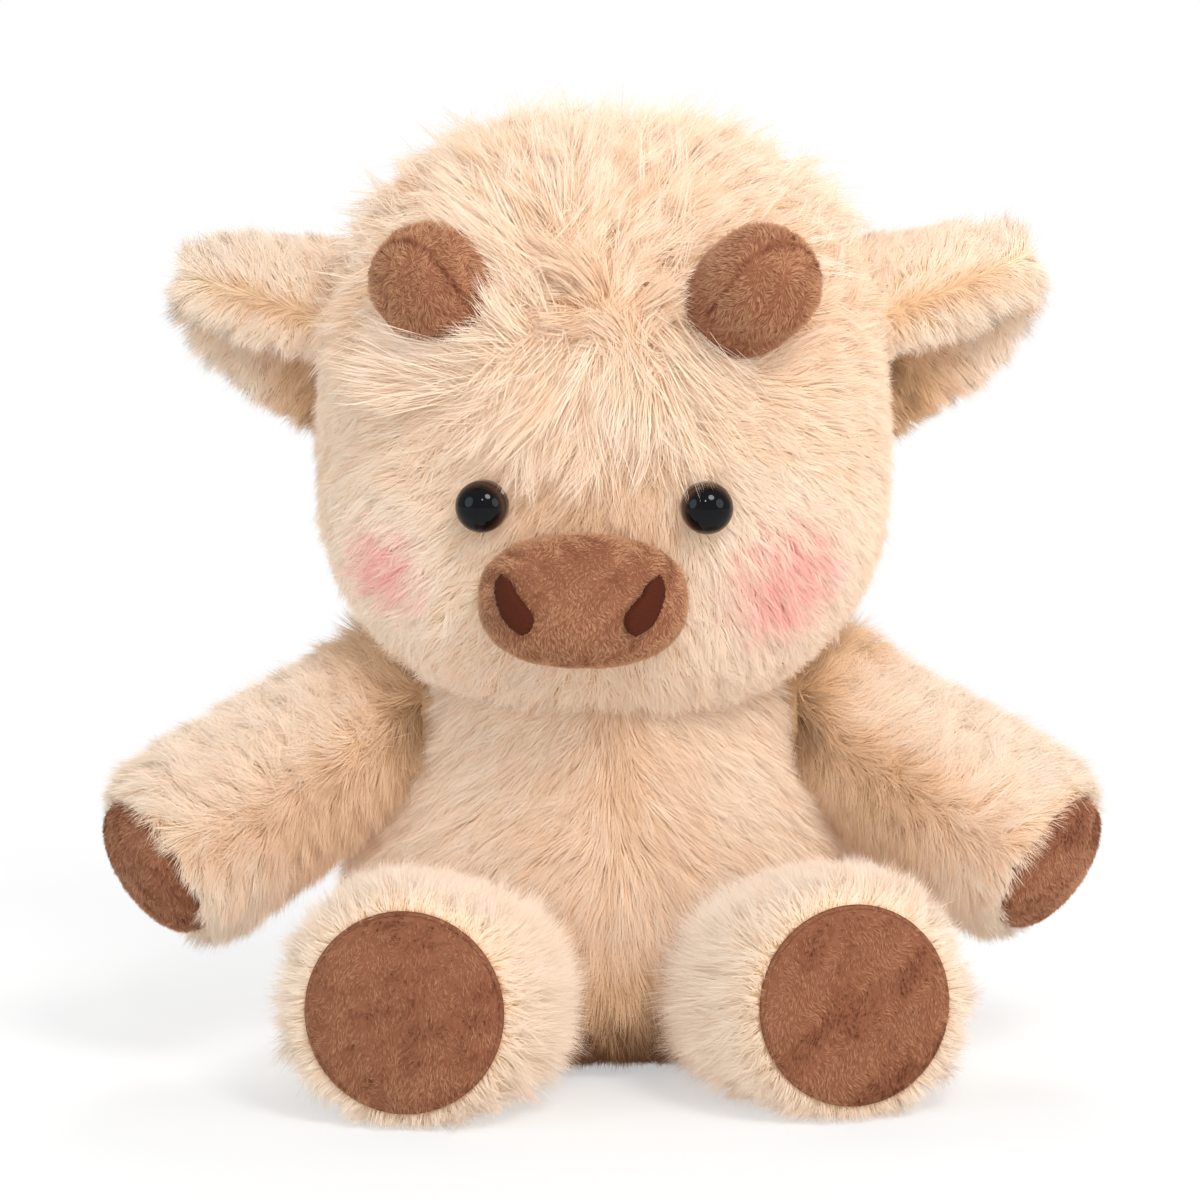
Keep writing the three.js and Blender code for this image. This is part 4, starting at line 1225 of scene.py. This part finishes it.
tail_root = JOINTS["tail_swing"] + [0, -6, 0]
tail_end = JOINTS["tail_swing"] + [0, 26, -14]
along = np.linspace(0, 1, 18)[:, None]
tail_line = tail_root + (tail_end - tail_root) * along + UP * 2.3 * np.sin(along * math.pi)
tail_points, tail_quads = thread(tail_line, 3.0, around=16)
tail_skin = Skin(tail_points, tail_quads[:, ::-1])
tail_way = unit(tail_end - tail_root)
backing("tail_backing", WORLD, tail_skin, "tail", "cream_fur", ["tail_cover"], inset=0.2)
coat("tail_coat", WORLD, tail_skin, "tail", 131, density=3.2, length=7, lift=24, comb=tail_way, tone=0.6,
     clump=3.0)
tuft_place = Place(tail_end)
tuft_skin = lump(5.5, 8.0, 5.5, 5.5, 2.1, rows=24, around=32)
backing("tuft_backing", tuft_place, tuft_skin, "tail", "long_fur", ["tail_tuft"], inset=0.2)
coat("tuft_coat", tuft_place, tuft_skin, "tail", 141, density=6.0, length=15, lift=20,
     comb=tail_way - UP * 0.5, tone=0.58, slot="long_fur", sag=0.35, clump=3.5, pull=0.45)

# The studio

CAMERA_AWAY, CAMERA_PITCH, CAMERA_TURN, AIM_UP, AIM_ACROSS = 1100.0, 8.0, 4.0, 112.6, -1.25
LENS_MM, SENSOR_MM = 132.0, 36.0
pitch, heading = math.radians(CAMERA_PITCH), math.radians(CAMERA_TURN)
level = math.cos(pitch)
away = np.array([-math.sin(heading) * level, -math.cos(heading) * level, math.sin(pitch)])
aim = np.array([AIM_ACROSS, 0, AIM_UP])
lens = bpy.data.cameras.new("photo_camera")
lens.lens, lens.sensor_width = LENS_MM, SENSOR_MM
camera = bpy.data.objects.new("photo_camera", lens)
bpy.context.scene.collection.objects.link(camera)
camera.location = Vector((aim + away * CAMERA_AWAY) * MM)
camera.rotation_euler = Vector(-away).to_track_quat("-Z", "Y").to_euler()
bpy.context.scene.camera = camera


def seen_by(finish, *kinds):
    """1 where any of these kinds of ray sees a surface, and 0 elsewhere."""
    rays = finish.add("ShaderNodeLightPath").socket.node.outputs
    seen = Wire(finish, rays[kinds[0]])
    for kind in kinds[1:]:
        seen = seen.maths("MAXIMUM", seen, Wire(finish, rays[kind]))
    return seen


# The floor is lit as usual in light and shadow, and mostly white where a camera or a reflection sees it
floor_finish = Finish(bpy.data.materials.new("studio_floor"))
floor_lit = floor_finish.add("ShaderNodeBsdfDiffuse", sockets={"Color": colour("F4F3F1")})
floor_white = floor_finish.add("ShaderNodeEmission", sockets={"Color": colour("FFFFFF"), "Strength": 1.0})
WHITE_NEAR, WHITE_FAR, NEAR_MM, FAR_MM = 0.5, 1.0, 110.0, 420.0
place = floor_finish.add("ShaderNodeTexCoord", out=3)
length = floor_finish.add("ShaderNodeVectorMath", {"operation": "LENGTH"}, {0: place}, out=1)
reach = {0: length, 1: NEAR_MM * MM, 2: FAR_MM * MM, 3: WHITE_NEAR, 4: WHITE_FAR}
whiteness = floor_finish.add("ShaderNodeMapRange", {"interpolation_type": "SMOOTHSTEP"}, reach)
seen = seen_by(floor_finish, "Is Camera Ray", "Is Glossy Ray", "Is Transmission Ray") * whiteness
floor_material = floor_finish.close(
    floor_finish.add("ShaderNodeMixShader", sockets={0: seen, 1: floor_lit, 2: floor_white}))
FLOOR_HALF = 2500.0
corners = np.array([[-1, -1, 0], [1, -1, 0], [1, 1, 0], [-1, 1, 0]]) * FLOOR_HALF
floor = mesh_object("studio_floor", corners, np.array([[0, 1, 2, 3]]), floor_material)

world_finish = Finish(bpy.data.worlds.new("studio_world"), "ShaderNodeOutputWorld")
dim = world_finish.add("ShaderNodeBackground", sockets={"Color": (0.95, 0.98, 1, 1), "Strength": 0.6})
white = world_finish.add("ShaderNodeBackground", sockets={"Color": (1, 1, 1, 1)})
seen = seen_by(world_finish, "Is Camera Ray", "Is Transmission Ray")
bpy.context.scene.world = world_finish.close(
    world_finish.add("ShaderNodeMixShader", sockets={0: seen, 1: dim, 2: white}))


LIT_POINT = (0, 0, 110)


def softbox(name, place, size, watts, tint=(1, 1, 1)):
    """A round light that faces the middle of the cow; places and sizes in millimetres."""
    light = bpy.data.lights.new(name, "AREA")
    light.shape, light.size, light.energy, light.color = "DISK", size * MM, watts, tint
    lamp = bpy.data.objects.new(name, light)
    bpy.context.scene.collection.objects.link(lamp)
    lamp.location = Vector(place) * MM
    lamp.rotation_euler = (Vector(LIT_POINT) - Vector(place)).to_track_quat("-Z", "Y").to_euler()


WARM, COOL = (1, 0.97, 0.94), (0.66, 0.87, 1)
softbox("key_light", (300, -850, 950), 420, 7.5, WARM)
softbox("fill_light", (800, -700, 450), 600, 2.5, WARM)
softbox("cool_light", (-850, -500, 420), 600, 2.5, COOL)
softbox("back_light", (100, 800, 900), 500, 5.0)
softbox("eye_light", (-120, -1000, 700), 90, 0.9)

bpy.context.scene.view_settings.view_transform = "Standard"
